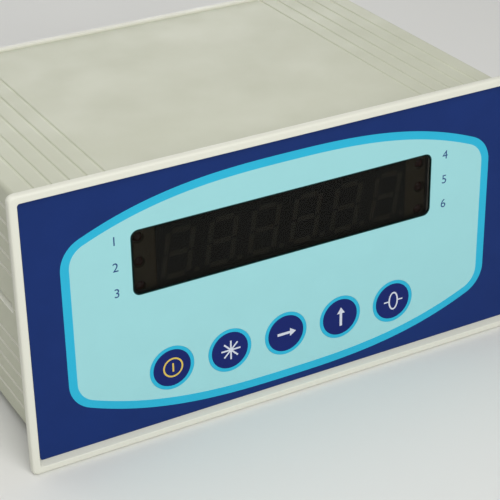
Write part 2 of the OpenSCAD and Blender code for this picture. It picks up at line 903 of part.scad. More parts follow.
module cover_lip_ring() {
    lip_y = shell_end - cover_lip;
    difference() {
        slab(skirt_w, skirt_h, body_corner_r, lip_y, cover_lip);
        slab(skirt_w - 2 * cover_lip_t, skirt_h - 2 * cover_lip_t, body_corner_r, lip_y - over,
            cover_lip + over);
        at_corners(cover_boss_x, cover_boss_z)
            rod_y(cover_boss_r + loose, cover_lip + over, 0, lip_y - over, 0);
        for (x = [-1, 1])
            block(2 * (rib_w - wall + fit), cover_lip + over, rib_h + 2 * loose, x * inner_w / 2,
                lip_y - over, axis_z - rib_h / 2 - loose);
    }
}

module rear_cover() {
    full_w = body_w + 2 * cover_proud;
    full_h = body_h + 2 * cover_proud;
    place() color(plastic) difference() {
        union() {
            hull() {
                slab(full_w, full_h, body_corner_r, shell_end, cover_t - cover_round, $fn = hull_fn);
                slab(full_w - 2 * cover_round, full_h - 2 * cover_round, body_corner_r, body_d - slice,
                    slice, $fn = hull_fn);
            }
            cover_lip_ring();
        }
        translate([0, 0, axis_z]) along_y(shell_end - over, cover_t + 2 * over)
            for (x = [-1, 1])
                translate([x * full_w / 2, 0])
                    square([2 * (slot_depth + cover_proud), slot_h], center = true);
        header_cut(power_w, power_x);
        header_cut(cell_w, cell_x);
        header_cut(control_w, control_x);
        translate([serial_x, 0, serial_z])
            along_y(shell_end - over, cover_t + 2 * over) serial_outline(loose);
        for (x = [-1, 1])
            rod_y(jack_shank_r + loose, cover_t + 2 * over, serial_x + x * jack_x, shell_end - over,
                serial_z);
        rod_y(fuse_barrel_r + fit, cover_t + 2 * over, fuse_x, shell_end - over, fuse_z);
        at_corners(cover_boss_x, cover_boss_z)
            rod_y(cover_screw_r + loose, cover_t + 2 * over, 0, shell_end - over, 0);
    }
}

module rear_screws() {
    place() color(metal) at_corners(cover_boss_x, cover_boss_z) difference() {
        union() {
            rod_y(cover_screw_r * core_share, cover_screw_len, 0, body_d - cover_screw_len, 0);
            rod_y(cover_head_r, cover_head_h, 0, body_d, 0);
        }
        cross_y(cover_head_r, body_d + cover_head_h);
    }
}

module serial_port() {
    mouth_y = body_d + serial_proud;
    place() color(metal) translate([serial_x, 0, serial_z]) {
        difference() {
            along_y(shell_end - serial_back, serial_back + cover_t + serial_proud) serial_outline(0);
            for (p = [-2 : 2])
                rod_y(serial_pin_r, serial_pocket + over, p * serial_pin_pitch, mouth_y - serial_pocket,
                    serial_row_z);
            for (p = [-2 : 1])
                rod_y(serial_pin_r, serial_pocket + over, (p + 1 / 2) * serial_pin_pitch,
                    mouth_y - serial_pocket, -serial_row_z);
        }
        block(serial_flange_w, serial_flange_t, serial_flange_h, 0, shell_end - serial_flange_t,
            -serial_flange_h / 2);
        block(serial_flange_w, serial_back, board_t, 0, shell_end - serial_back, -serial_flange_h / 2);
        for (x = [-1, 1])
            translate([x * jack_x, 0, 0]) difference() {
                union() {
                    rod_y(jack_shank_r, cover_t, 0, shell_end, 0);
                    translate([0, body_d, 0]) rotate([-90, 0, 0])
                        cylinder(r = jack_r, h = jack_len, $fn = 6);
                }
                rod_y(jack_bore_r, jack_len + over, 0, body_d + end_gap, 0);
            }
    }
}

// Pluggable terminals: a header on the board, a plug that pulls out backwards, and its screws

function pole_x(p, poles, pitch, x) = x + (p - (poles - 1) / 2) * pitch;

module terminal_header(poles, pitch, w, x) {
    header_y = body_d - header_d;
    difference() {
        block(w, header_d, header_h, x, header_y, board_top);
        block(w - 2 * header_wall, header_d - header_base + over, header_h - 2 * header_wall, x,
            header_y + header_base, board_top + header_wall);
    }
    for (p = [0 : poles - 1])
        block(terminal_pin, terminal_pin_len, terminal_pin, pole_x(p, poles, pitch, x),
            header_y + header_base, board_top + (header_h - terminal_pin) / 2);
}

module terminal_plug(poles, pitch, w, x) {
    mouth_y = body_d - header_d + header_base + plug_gap;
    tail_y = body_d + plug_gap;
    end_y = body_d + plug_proud;
    inset = header_wall + plug_gap;
    wire_depth = plug_proud * wire_depth_share;
    hole = terminal_pin + 2 * plug_gap;
    notch_w = pitch * notch_w_share;
    difference() {
        union() {
            block(w - 2 * inset, tail_y - mouth_y, header_h - 2 * inset, x, mouth_y, board_top + inset);
            block(w, end_y - tail_y, plug_h, x, tail_y, board_top);
        }
        for (p = [0 : poles - 1]) {
            at_x = pole_x(p, poles, pitch, x);
            block(hole, terminal_pin_len + over, hole, at_x, mouth_y - over / 2,
                board_top + (header_h - hole) / 2);
            block(pitch * wire_w_share, wire_depth, wire_h, at_x, end_y - wire_depth + over,
                board_top + wire_z - wire_h / 2);
            rod_z(pitch * clamp_r_share, plug_h, at_x, clamp_y, board_top + wire_z);
        }
        for (p = [0 : poles])
            block(notch_w, notch_depth + over, plug_h, pole_x(p - 1 / 2, poles, pitch, x),
                end_y - notch_depth, board_top + plug_h * notch_z_share);
    }
}

module plug_screws(poles, pitch, x) {
    top_z = board_top + plug_h - clamp_screw_sink;
    r = pitch * clamp_r_share - fit / 2;
    for (p = [0 : poles - 1])
        translate([pole_x(p, poles, pitch, x), clamp_y, 0]) difference() {
            rod_z(r, clamp_screw_len, 0, 0, top_z - clamp_screw_len);
            block(2 * r + over, driver_slot_w, driver_slot_d + over, 0, -driver_slot_w / 2,
                top_z - driver_slot_d);
        }
}

module power_header() {
    place() color("seagreen") terminal_header(power_poles, wide_pitch, power_w, power_x);
}

module cell_header() {
    place() color("seagreen") terminal_header(cell_poles, wide_pitch, cell_w, cell_x);
}

module control_header() {
    place() color("seagreen") terminal_header(control_poles, narrow_pitch, control_w, control_x);
}

module power_plug() {
    place() color("mediumseagreen") terminal_plug(power_poles, wide_pitch, power_w, power_x);
}

module cell_plug() {
    place() color("mediumseagreen") terminal_plug(cell_poles, wide_pitch, cell_w, cell_x);
}

module control_plug() {
    place() color("mediumseagreen") terminal_plug(control_poles, narrow_pitch, control_w, control_x);
}

module power_plug_screws() {
    place() color(metal) plug_screws(power_poles, wide_pitch, power_x);
}

module cell_plug_screws() {
    place() color(metal) plug_screws(cell_poles, wide_pitch, cell_x);
}

module control_plug_screws() {
    place() color(metal) plug_screws(control_poles, narrow_pitch, control_x);
}

// Fuse holder: barrel with its nut, a cap with its carrier, and the glass link it holds

module fuse_holder() {
    bore_y = fuse_link_y - fit;
    place() color(black) translate([fuse_x, 0, fuse_z]) difference() {
        union() {
            rod_y(fuse_flange_r, fuse_flange_t, 0, body_d, 0);
            rod_y(fuse_barrel_r, body_d - fuse_barrel_y, 0, fuse_barrel_y, 0);
            translate([0, shell_end - fuse_nut_t, 0]) rotate([-90, 0, 0])
                cylinder(r = fuse_nut_r, h = fuse_nut_t, $fn = 6);
            block(fuse_lug_w, fuse_lug_len, fuse_lug_t, 0, fuse_barrel_y - fuse_lug_len, -fuse_lug_t / 2);
        }
        rod_y(fuse_bore_r, body_d + fuse_flange_t - bore_y + over, 0, bore_y, 0);
    }
}

module fuse_cap() {
    end_y = fuse_cap_y + fuse_cap_len;
    place() color(black) translate([fuse_x, 0, fuse_z]) difference() {
        union() {
            rod_y(fuse_cap_r, fuse_cap_len, 0, fuse_cap_y, 0);
            rod_y(fuse_carrier_r, fuse_carrier_len, 0, fuse_cap_y - fuse_carrier_len, 0);
        }
        rod_y(fuse_r + fit, fuse_seat + over, 0, fuse_cap_y - fuse_carrier_len - over, 0);
        for (a = [1 : grip_count])
            rotate([0, a * 360 / grip_count, 0])
                rod_y(grip_r, fuse_cap_len, fuse_cap_r + grip_r / 2, fuse_cap_y + 2 * grip_r, 0);
        block(2 * fuse_cap_r, driver_slot_d + over, 2 * driver_slot_w, 0, end_y - driver_slot_d,
            -driver_slot_w);
    }
}

module fuse_link() {
    place() color(metal) translate([fuse_x, fuse_link_y, fuse_z]) {
        rod_y(fuse_glass_r, fuse_len, 0, 0, 0);
        for (y = [0, fuse_len - fuse_end_len])
            rod_y(fuse_r, fuse_end_len, 0, y, 0);
    }
}

// Main board and what stands on it

module main_board() {
    notch = post_r + 2 * loose;
    place() color(board_green) difference() {
        block(main_board_w, main_board_end - main_board_y, board_t, 0, main_board_y, board_z);
        for (x = [-1, 1], y = [post_front_y, post_rear_y])
            translate([x * post_x, y, board_z - over]) {
                cylinder(r = notch, h = board_t + 2 * over);
                block(main_board_w, 2 * notch, board_t + 2 * over, x * main_board_w / 2, -notch, 0);
            }
        at_standoffs() rod_z(board_hole_r, board_t + 2 * over, 0, 0, board_z - over);
    }
}

module board_screws() {
    place() color(metal) at_standoffs() difference() {
        union() {
            rod_z(board_screw_r * core_share, board_screw_len, 0, 0, board_top - board_screw_len);
            rod_z(board_head_r, screw_head_h, 0, 0, board_top);
        }
        block(2 * board_head_r, driver_slot_w, driver_slot_d + over, 0, -driver_slot_w / 2,
            board_top + screw_head_h - driver_slot_d);
    }
}

// Laminated core with two windows, standing across the body
module transformer_core() {
    place() color("dimgray") difference() {
        block(core_w, core_stack, core_h, core_x, core_y - core_stack / 2, board_top);
        for (x = [-1, 1])
            block(core_gap, core_stack + 2 * over, core_h - 2 * core_yoke,
                core_x + x * (core_leg + core_gap) / 2, core_y - core_stack / 2 - over,
                board_top + core_yoke);
    }
}

// A block round the middle leg, as wide and deep as the leg and the given reach on each side
module round_leg(reach, h, z) {
    block(core_leg + 2 * reach, core_stack + 2 * reach, h, core_x, core_y - core_stack / 2 - reach, z);
}

module transformer_bobbin() {
    pin_y = core_stack / 2 + bobbin_reach - bobbin_wall;
    place() color("ivory") {
        difference() {
            union() {
                round_leg(fit + bobbin_wall, bobbin_h, bobbin_z);
                round_leg(bobbin_reach, bobbin_wall, bobbin_z);
                round_leg(bobbin_reach, bobbin_wall, bobbin_z + bobbin_h - bobbin_wall);
            }
            round_leg(fit, core_h, board_top);
        }
        for (i = [-1 : 1], y = [-1, 1])
            rod_z(bobbin_pin_r, bobbin_z - board_top, core_x + i * bobbin_pin_pitch,
                core_y + y * pin_y, board_top);
    }
}

module transformer_winding() {
    h = bobbin_h - 2 * bobbin_wall;
    place() color("goldenrod") difference() {
        round_leg(winding_reach, h, bobbin_z + bobbin_wall);
        round_leg(fit + bobbin_wall, h + 2 * over, bobbin_z + bobbin_wall - over);
    }
}

module filter_capacitors() {
    first_x = core_x - core_w / 2 + cap_r + cap_gap;
    small_x = first_x + 3 * cap_r + 2 * cap_gap + small_cap_r;
    place() color("darkslateblue") {
        for (i = [0, 1])
            rod_z(cap_r, cap_h, first_x + i * (2 * cap_r + cap_gap), cap_y, board_top);
        for (i = [-1, 1])
            rod_z(small_cap_r, small_cap_h, small_x, cap_y + i * (small_cap_r + cap_gap / 2), board_top);
    }
}

module voltage_regulator() {
    leg_z = board_top + regulator_leg;
    tab_y = regulator_y + regulator_t - tab_t;
    place() color(black) {
        block(regulator_w, regulator_t, regulator_h, regulator_x, regulator_y, leg_z);
        difference() {
            block(regulator_w, tab_t, tab_h, regulator_x, tab_y, leg_z + regulator_h);
            rod_y(tab_hole_r, tab_t + 2 * over, regulator_x, tab_y - over,
                leg_z + regulator_h + tab_h / 2);
        }
        for (i = [-1 : 1])
            block(regulator_leg_w, regulator_leg_w, regulator_leg, regulator_x + i * regulator_pitch,
                regulator_y + regulator_t / 2, board_top);
    }
}

module heat_sink() {
    base_y = regulator_y + regulator_t;
    fin_step = (sink_w - sink_fin_t) / (sink_fins - 1);
    place() color(metal) {
        block(sink_w, sink_base, sink_h, regulator_x, base_y, board_top);
        for (i = [0 : sink_fins - 1])
            block(sink_fin_t, sink_fin_len, sink_h, regulator_x + (sink_fin_t - sink_w) / 2 + i * fin_step,
                base_y + sink_base, board_top);
    }
}

module shield_can() {
    place() color(metal) difference() {
        block(can_w, can_d, can_h, can_x, can_y, board_top);
        block(can_w - 2 * can_sheet, can_d - 2 * can_sheet, can_h - can_sheet + over, can_x,
            can_y + can_sheet, board_top - over);
        for (x = [-2 : 2], y = [-1 : 1])
            rod_z(can_hole_r, can_sheet + 2 * over, can_x + x * can_hole_pitch,
                can_y + can_d / 2 + y * can_hole_pitch, board_top + can_h - can_sheet - over);
    }
}

module logic_chips() {
    place() color(black) {
        block(processor_side, processor_side, processor_h, processor_x, main_board_y + processor_lead,
            board_top);
        block(driver_chip_w, driver_chip_d, chip_h, regulator_x, main_board_y + driver_chip_lead, board_top);
        block(converter_w, converter_d, chip_h, can_x, can_y + (can_d - converter_d) / 2, board_top);
        block(memory_w, memory_d, processor_h, regulator_x, main_board_y + processor_lead, board_top);
    }
}

module relays() {
    middle = (relay_count - 1) / 2;
    place() color("royalblue") for (i = [0 : relay_count - 1])
        block(relay_w, relay_d, relay_h, can_x + (i - middle) * (relay_w + relay_gap),
            relay_y, board_top);
}

front_bezel();
front_overlay();
display_window();
key_pad(1);  // key_pad_1
key_pad(2);  // key_pad_2
key_pad(3);  // key_pad_3
key_pad(4);  // key_pad_4
key_pad(5);  // key_pad_5
key_plunger(1);  // key_plunger_1
key_plunger(2);  // key_plunger_2
key_plunger(3);  // key_plunger_3
key_plunger(4);  // key_plunger_4
key_plunger(5);  // key_plunger_5
switch_button(1);  // switch_button_1
switch_button(2);  // switch_button_2
switch_button(3);  // switch_button_3
switch_button(4);  // switch_button_4
switch_button(5);  // switch_button_5
tact_switches();
display_board();
digit_module(1);  // digit_module_1
digit_module(2);  // digit_module_2
digit_module(3);  // digit_module_3
digit_module(4);  // digit_module_4
digit_module(5);  // digit_module_5
digit_module(6);  // digit_module_6
indicator_lamps();
lamp_holders();
display_screws();
ribbon_cable();
ribbon_headers();
upper_shell();
lower_shell();
shell_screws();
rear_cover();
rear_screws();
main_board();
board_screws();
transformer_core();
transformer_bobbin();
transformer_winding();
filter_capacitors();
voltage_regulator();
heat_sink();
shield_can();
logic_chips();
relays();
power_header();
cell_header();
control_header();
power_plug();
cell_plug();
control_plug();
power_plug_screws();
cell_plug_screws();
control_plug_screws();
serial_port();
fuse_holder();
fuse_cap();
fuse_link();
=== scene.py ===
"""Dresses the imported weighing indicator.

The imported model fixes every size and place. This script gives each piece its finish, rounds the
edges that catch the light, prints the front, and adds the small parts that the boards, the
terminals and the connector carry. Lengths are in metres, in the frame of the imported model.
"""

import json
import logging
import math
from collections.abc import Callable, Sequence
from dataclasses import dataclass, field, replace
from enum import Enum

import bmesh
import bpy
from mathutils import Color, Matrix, Vector
from mathutils.geometry import delaunay_2d_cdt

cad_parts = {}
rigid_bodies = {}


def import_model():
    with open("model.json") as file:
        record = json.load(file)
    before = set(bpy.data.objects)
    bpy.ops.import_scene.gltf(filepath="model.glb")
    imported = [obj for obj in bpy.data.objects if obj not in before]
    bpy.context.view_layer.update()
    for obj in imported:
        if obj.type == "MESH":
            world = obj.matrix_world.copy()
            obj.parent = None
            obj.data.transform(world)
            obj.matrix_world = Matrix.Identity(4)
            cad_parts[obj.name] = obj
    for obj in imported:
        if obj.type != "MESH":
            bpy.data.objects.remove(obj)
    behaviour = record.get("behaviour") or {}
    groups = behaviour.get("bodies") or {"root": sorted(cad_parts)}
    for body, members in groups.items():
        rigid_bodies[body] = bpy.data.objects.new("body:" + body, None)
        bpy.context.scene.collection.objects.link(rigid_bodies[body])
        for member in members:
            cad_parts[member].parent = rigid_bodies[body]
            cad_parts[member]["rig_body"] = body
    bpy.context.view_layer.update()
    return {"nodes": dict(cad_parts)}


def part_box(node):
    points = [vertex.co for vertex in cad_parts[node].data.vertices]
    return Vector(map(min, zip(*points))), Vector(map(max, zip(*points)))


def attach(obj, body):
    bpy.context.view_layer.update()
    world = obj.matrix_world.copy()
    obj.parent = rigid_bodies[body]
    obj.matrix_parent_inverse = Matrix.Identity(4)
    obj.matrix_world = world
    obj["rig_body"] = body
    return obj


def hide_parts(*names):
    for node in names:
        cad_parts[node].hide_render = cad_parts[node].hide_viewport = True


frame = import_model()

MM = 0.001
KEYS = 5
DIGITS = 6
KEY_STEPS = 64
LOG = logging.getLogger("indicator")

Point = tuple[float, float]
Outline = list[Point]
Rgb = tuple[int, int, int]


class Slot(Enum):
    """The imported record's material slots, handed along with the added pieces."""

    HOUSING = "housing_plastic"
    OVERLAY = "overlay_film"
    KEY = "key_film"
    WINDOW = "smoked_window"
    BLACK = "black_plastic"
    DIGIT = "digit_face"
    TIN = "tinned_steel"
    TERMINAL = "terminal_green"
    GLASS = "fuse_glass"


class Graph:
    """Adds nodes to one node tree and joins their sockets."""

    def __init__(self, tree: bpy.types.NodeTree) -> None:
        """Keeps the tree that the nodes go into."""
        self.tree = tree

    def node(self, kind: str, inputs: dict | None = None, **settings: object) -> bpy.types.Node:
        """Adds one node.

        Args:
            kind: Blender's name of the node type.
            inputs: a value or another node's output for each named or numbered input.
            **settings: the node's own settings.

        Returns:
            The new node.
        """
        made = self.tree.nodes.new(kind)
        for key, value in settings.items():
            setattr(made, key, value)
        for key, value in (inputs or {}).items():
            if isinstance(value, bpy.types.NodeSocket):
                self.tree.links.new(value, made.inputs[key])
            else:
                made.inputs[key].default_value = value
        return made

    def math(self, operation: str, *values: object) -> bpy.types.NodeSocket:
        """Adds a Math node and returns its result."""
        return self.node("ShaderNodeMath", dict(enumerate(values)), operation=operation).outputs[0]

    def mix(self, share: object, first: object, second: object) -> bpy.types.NodeSocket:
        """Adds a colour mix, from the first colour to the second, and returns its result."""
        values = {0: share, 6: first, 7: second}
        return self.node("ShaderNodeMix", values, data_type="RGBA").outputs[2]

    def ramp(self, value: object, low: float, high: float, start: float, end: float) -> bpy.types.NodeSocket:
        """Maps a value from low..high to start..end, held at both ends, and returns the result."""
        values = {0: value, 1: low, 2: high, 3: start, 4: end}
        return self.node("ShaderNodeMapRange", values).outputs[0]

    def place(self) -> bpy.types.NodeSocket:
        """Adds the object's own coordinates and returns them."""
        return self.node("ShaderNodeTexCoord").outputs["Object"]

    def along(self, axis: str) -> bpy.types.NodeSocket:
        """Adds the coordinate along one axis and returns it."""
        return self.node("ShaderNodeSeparateXYZ", {0: self.place()}).outputs[axis]

    def noise(
        self, place: object, scale: object, detail: float, roughness: float = 0.5
    ) -> bpy.types.NodeSocket:
        """Adds a noise texture and returns its value."""
        values = {"Vector": place, "Scale": scale, "Detail": detail, "Roughness": roughness}
        return self.node("ShaderNodeTexNoise", values).outputs[0]

    def off_middle(self, across: object, pitch: float) -> bpy.types.NodeSocket:
        """Returns how far a point lies from the middle of its strip, 0 to 0.5, in strips of one pitch."""
        wave = self.math("FRACT", self.math("DIVIDE", across, pitch))
        return self.math("ABSOLUTE", self.math("SUBTRACT", wave, 0.5))

    def cover(self, colour: object, mask: object, share: float, upper: Rgb) -> bpy.types.NodeSocket:
        """Lays a colour over another where the mask shows, and returns the result."""
        return self.mix(self.math("MULTIPLY", mask, share), colour, linear(upper))

    def group(self, tree: bpy.types.NodeTree, inputs: dict) -> bpy.types.Node:
        """Places a shared node group with its own input values."""
        return self.node("ShaderNodeGroup", inputs, node_tree=tree)


def linear(colour: Rgb) -> tuple[float, float, float, float]:
    """Turns a colour as seen on screen, 0 to 255, into a shader colour."""
    seen = Color([channel / 255 for channel in colour])
    return (*seen.from_srgb_to_scene_linear(), 1.0)


class SharedGroups:
    """The shader groups that more than one finish uses, each built once."""

    _made: dict[str, bpy.types.NodeTree] = {}

    @classmethod
    def start(
        cls, name: str, inputs: dict[str, str], outputs: dict[str, str]
    ) -> tuple[Graph, bpy.types.Node, bpy.types.Node]:
        """Makes an empty group.

        Args:
            name: the group's name.
            inputs: socket type for each input's name.
            outputs: socket type for each output's name.

        Returns:
            The group's graph, its input node and its output node.
        """
        tree = bpy.data.node_groups.new(name, "ShaderNodeTree")
        for label, kind in inputs.items():
            tree.interface.new_socket(label, in_out="INPUT", socket_type=kind)
        for label, kind in outputs.items():
            tree.interface.new_socket(label, in_out="OUTPUT", socket_type=kind)
        cls._made[name] = tree
        return Graph(tree), tree.nodes.new("NodeGroupInput"), tree.nodes.new("NodeGroupOutput")

    @classmethod
    def grain(cls) -> bpy.types.NodeTree:
        """Makes fine moulded or printed grain.

        Returns:
            The group: a height for the bump, a soft mottle for the colour and a mask of specks.
        """
        if "grain" in cls._made:
            return cls._made["grain"]
        graph, given, result = cls.start(
            "grain",
            {"Fineness": "NodeSocketFloat", "Stretch": "NodeSocketVector"},
            {"Height": "NodeSocketFloat", "Mottle": "NodeSocketFloat", "Speck": "NodeSocketFloat"},
        )
        place = graph.place()
        fineness = given.outputs["Fineness"]
        stretched = graph.node(
            "ShaderNodeVectorMath", {0: place, 1: given.outputs["Stretch"]}, operation="MULTIPLY"
        ).outputs[0]
        fine = graph.noise(stretched, fineness, detail=3.0, roughness=0.6)
        coarse_share = 0.02
        coarse_scale = graph.math("MULTIPLY", fineness, coarse_share)
        coarse = graph.noise(place, coarse_scale, detail=4.0, roughness=0.55)
        speck_share = 0.35
        speck_scale = graph.math("MULTIPLY", fineness, speck_share)
        speck = graph.node("ShaderNodeTexVoronoi", {"Vector": place, "Scale": speck_scale})
        results = {
            "Height": fine,
            "Mottle": graph.ramp(coarse, low=0.3, high=0.7, start=0.0, end=1.0),
            "Speck": graph.ramp(speck.outputs["Distance"], low=0.04, high=0.09, start=1.0, end=0.0),
        }
        for label, socket in results.items():
            graph.tree.links.new(socket, result.inputs[label])
        return graph.tree

    @classmethod
    def edge(cls) -> bpy.types.NodeTree:
        """Makes paler edges: edge wear, and on the housing mostly a painted highlight.

        Returns:
            The group: a mask that is high where the surface turns sharply, broken up by noise.
        """
        if "edge_wear" in cls._made:
            return cls._made["edge_wear"]
        sockets = {"Radius": "NodeSocketFloat", "Break-up": "NodeSocketFloat"}
        graph, given, result = cls.start("edge_wear", sockets, {"Mask": "NodeSocketFloat"})
        rounded = graph.node("ShaderNodeBevel", {"Radius": given.outputs["Radius"]}, samples=4).outputs[0]
        plain = graph.node("ShaderNodeNewGeometry").outputs["Normal"]
        same = graph.node("ShaderNodeVectorMath", {0: rounded, 1: plain}, operation="DOT_PRODUCT")
        sharp = graph.ramp(same.outputs["Value"], low=0.8, high=0.98, start=1.0, end=0.0)
        noise = graph.noise(graph.place(), given.outputs["Break-up"], detail=4.0)
        broken = graph.ramp(noise, low=0.4, high=0.62, start=0.6, end=1.0)
        graph.tree.links.new(graph.math("MULTIPLY", sharp, broken), result.inputs["Mask"])
        return graph.tree

    @classmethod
    def dust(cls) -> bpy.types.NodeTree:
        """Makes light dust that settles on upward faces, in soft patches.

        Returns:
            The group: a mask of the dust.
        """
        if "dust" in cls._made:
            return cls._made["dust"]
        graph, given, result = cls.start("dust", {"Patches": "NodeSocketFloat"}, {"Mask": "NodeSocketFloat"})
        normal = graph.node("ShaderNodeNewGeometry").outputs["Normal"]
        upward = graph.node("ShaderNodeSeparateXYZ", {0: normal}).outputs["Z"]
        noise = graph.noise(graph.place(), given.outputs["Patches"], detail=5.0)
        settled = graph.ramp(upward, low=0.2, high=0.95, start=0.15, end=1.0)
        patches = graph.ramp(noise, low=0.4, high=0.7, start=0.0, end=1.0)
        graph.tree.links.new(graph.math("MULTIPLY", settled, patches), result.inputs["Mask"])
        return graph.tree


@dataclass(frozen=True)
class Finish:
    """A surface finish with grain, mottle, paler edges and dust; the paler edges are edge wear, and on the
    housing mostly a painted highlight.

    The colour is written as seen on screen. Grain runs at fineness cells a metre, and grain_depth
    is the height of its bumps. The shares say how far mottle, specks, the paler edges and dust change
    the colour, and break_up_share is how fine the noise along the edges is beside the grain.
    """

    name: str
    colour: Rgb
    roughness: float = 0.5
    roughness_spread: float = 0.08
    metallic: float = 0.0
    fineness: float = 3000.0
    stretch: tuple[float, float, float] = (1.0, 1.0, 1.0)
    grain_depth: float = 0.01 * MM
    mottle_share: float = 0.05
    speck_share: float = 0.0
    wear_share: float = 0.0
    wear_colour: Rgb = (240, 240, 236)
    wear_radius: float = 0.25 * MM
    break_up_share: float = 0.25
    dust_share: float = 0.0
    dust_colour: Rgb = (200, 196, 186)
    dust_patches: float = 40.0
    coat: float = 0.0
    ior: float = 1.5
    specular: float = 0.5

    def tint(self, graph: Graph, colour: object, grain: bpy.types.Node) -> object:
        """Changes the base colour before mottle and wear; a subclass adds its own pattern here."""
        return colour

    def settings(self) -> dict:
        """The constant values of the shader's own sockets."""
        return {"IOR": self.ior, "Coat Weight": self.coat, "Specular IOR Level": self.specular}

    def height(self, graph: Graph, grain: bpy.types.Node) -> bpy.types.NodeSocket:
        """The height that drives the bump; a subclass adds its own relief here."""
        return grain.outputs["Height"]

    def build(self) -> bpy.types.Material:
        """Builds the material.

        Returns:
            The material, under the finish's name.
        """
        found = bpy.data.materials.get(self.name)
        if found:
            return found
        material = bpy.data.materials.new(self.name)
        material.use_nodes = True
        tree = material.node_tree
        tree.nodes.clear()
        graph = Graph(tree)
        grain = graph.group(SharedGroups.grain(), {"Fineness": self.fineness, "Stretch": self.stretch})
        base = linear(self.colour)
        darker = tuple(channel * (1 - 2 * self.mottle_share) for channel in base[:3]) + (1.0,)
        colour = graph.mix(grain.outputs["Mottle"], base, darker)
        colour = self.tint(graph, colour, grain)
        if self.speck_share:
            colour = graph.cover(colour, grain.outputs["Speck"], self.speck_share, self.wear_colour)
        # Paler sharp edges: edge wear, and on the housing mostly a painted highlight.
        if self.wear_share:
            break_up = self.fineness * self.break_up_share
            wear_and_highlight_node = graph.group(SharedGroups.edge(), {"Radius": self.wear_radius, "Break-up": break_up})
            colour = graph.cover(colour, wear_and_highlight_node.outputs["Mask"], self.wear_share, self.wear_colour)
        if self.dust_share:
            dust = graph.group(SharedGroups.dust(), {"Patches": self.dust_patches})
            colour = graph.cover(colour, dust.outputs["Mask"], self.dust_share, self.dust_colour)
        smoothest, roughest = self.roughness - self.roughness_spread, self.roughness + self.roughness_spread
        rough = graph.ramp(grain.outputs["Mottle"], low=0.0, high=1.0, start=smoothest, end=roughest)
        relief = {"Strength": 1.0, "Distance": self.grain_depth, "Height": self.height(graph, grain)}
        bump = graph.node("ShaderNodeBump", relief)
        shader = graph.node(
            "ShaderNodeBsdfPrincipled",
            {
                "Base Color": colour,
                "Roughness": rough,
                "Metallic": self.metallic,
                "Normal": bump.outputs[0],
                **self.settings(),
            },
        )
        graph.node("ShaderNodeOutputMaterial", {"Surface": shader.outputs[0]})
        return material


@dataclass(frozen=True)
class SmokedFilm(Finish):
    """Dark see-through film: a share of what lies behind still shows."""

    opacity: float = 0.8

    def settings(self) -> dict:
        """The constant values of the shader's own sockets."""
        return {"IOR": self.ior, "Specular IOR Level": self.specular, "Alpha": self.opacity}


@dataclass(frozen=True)
class ClearGlass(Finish):
    """Clear or tinted glass."""

    def settings(self) -> dict:
        """The constant values of the shader's own sockets."""
        return {"IOR": self.ior, "Transmission Weight": 1.0}


@dataclass(frozen=True)
class MilkyPlastic(Finish):
    """Plastic or epoxy that lets light in a little way."""

    depth: float = 0.4 * MM

    def settings(self) -> dict:
        """The constant values of the shader's own sockets."""
        return {"IOR": self.ior, "Subsurface Weight": 0.5, "Subsurface Scale": self.depth}


@dataclass(frozen=True)
class Laminate(Finish):
    """Circuit board with copper tracks that show as paler lines under the solder mask.

    The tracks lie across X or across the second axis. A track stands track_rise times the height
    of the grain proud.
    """

    track_colour: Rgb = (60, 128, 82)
    track_pitch: float = 2.54 * MM
    track_rise: float = 4.0
    lanes: int = 4
    second_axis: str = "Z"

    def tint(self, graph: Graph, colour: object, grain: bpy.types.Node) -> object:
        """Draws tracks on the board's colour."""
        return graph.mix(self.tracks(graph), colour, linear(self.track_colour))

    def height(self, graph: Graph, grain: bpy.types.Node) -> bpy.types.NodeSocket:
        """Lets the tracks stand a little proud of the laminate."""
        proud = graph.math("MULTIPLY", self.tracks(graph), self.track_rise)
        return graph.math("ADD", grain.outputs["Height"], proud)

    def tracks(self, graph: Graph) -> bpy.types.NodeSocket:
        """Makes a mask of tracks: straight runs that change direction from cell to cell.

        Args:
            graph: the material's graph.

        Returns:
            The mask, 1 on a track.
        """
        place = graph.place()
        shape = {"Vector": place, "Scale": 1 / (self.lanes * self.track_pitch), "Randomness": 0.6}
        cells = graph.node("ShaderNodeTexVoronoi", shape, distance="CHEBYCHEV")
        lane = graph.node("ShaderNodeSeparateColor", {0: cells.outputs["Color"]}).outputs[0]
        parts = graph.node("ShaderNodeSeparateXYZ", {0: place}).outputs
        across = graph.mix(graph.math("GREATER_THAN", lane, 0.5), parts["X"], parts[self.second_axis])
        off_middle = graph.off_middle(across, self.track_pitch)
        return graph.ramp(off_middle, low=0.12, high=0.15, start=1.0, end=0.0)


@dataclass(frozen=True)
class Laminations(Finish):
    """Stacked iron sheets, seen as fine lines along one axis."""

    sheet: float = 0.5 * MM
    joint_colour: Rgb = (24, 22, 20)

    def tint(self, graph: Graph, colour: object, grain: bpy.types.Node) -> object:
        """Darkens the joints between the sheets.

        Args:
            graph: the material's graph.
            colour: the colour so far.
            grain: the placed grain group; not used.

        Returns:
            The changed colour.
        """
        off_middle = graph.off_middle(graph.along("Y"), self.sheet)
        joint = graph.ramp(off_middle, low=0.35, high=0.48, start=0.0, end=0.7)
        return graph.mix(joint, colour, linear(self.joint_colour))


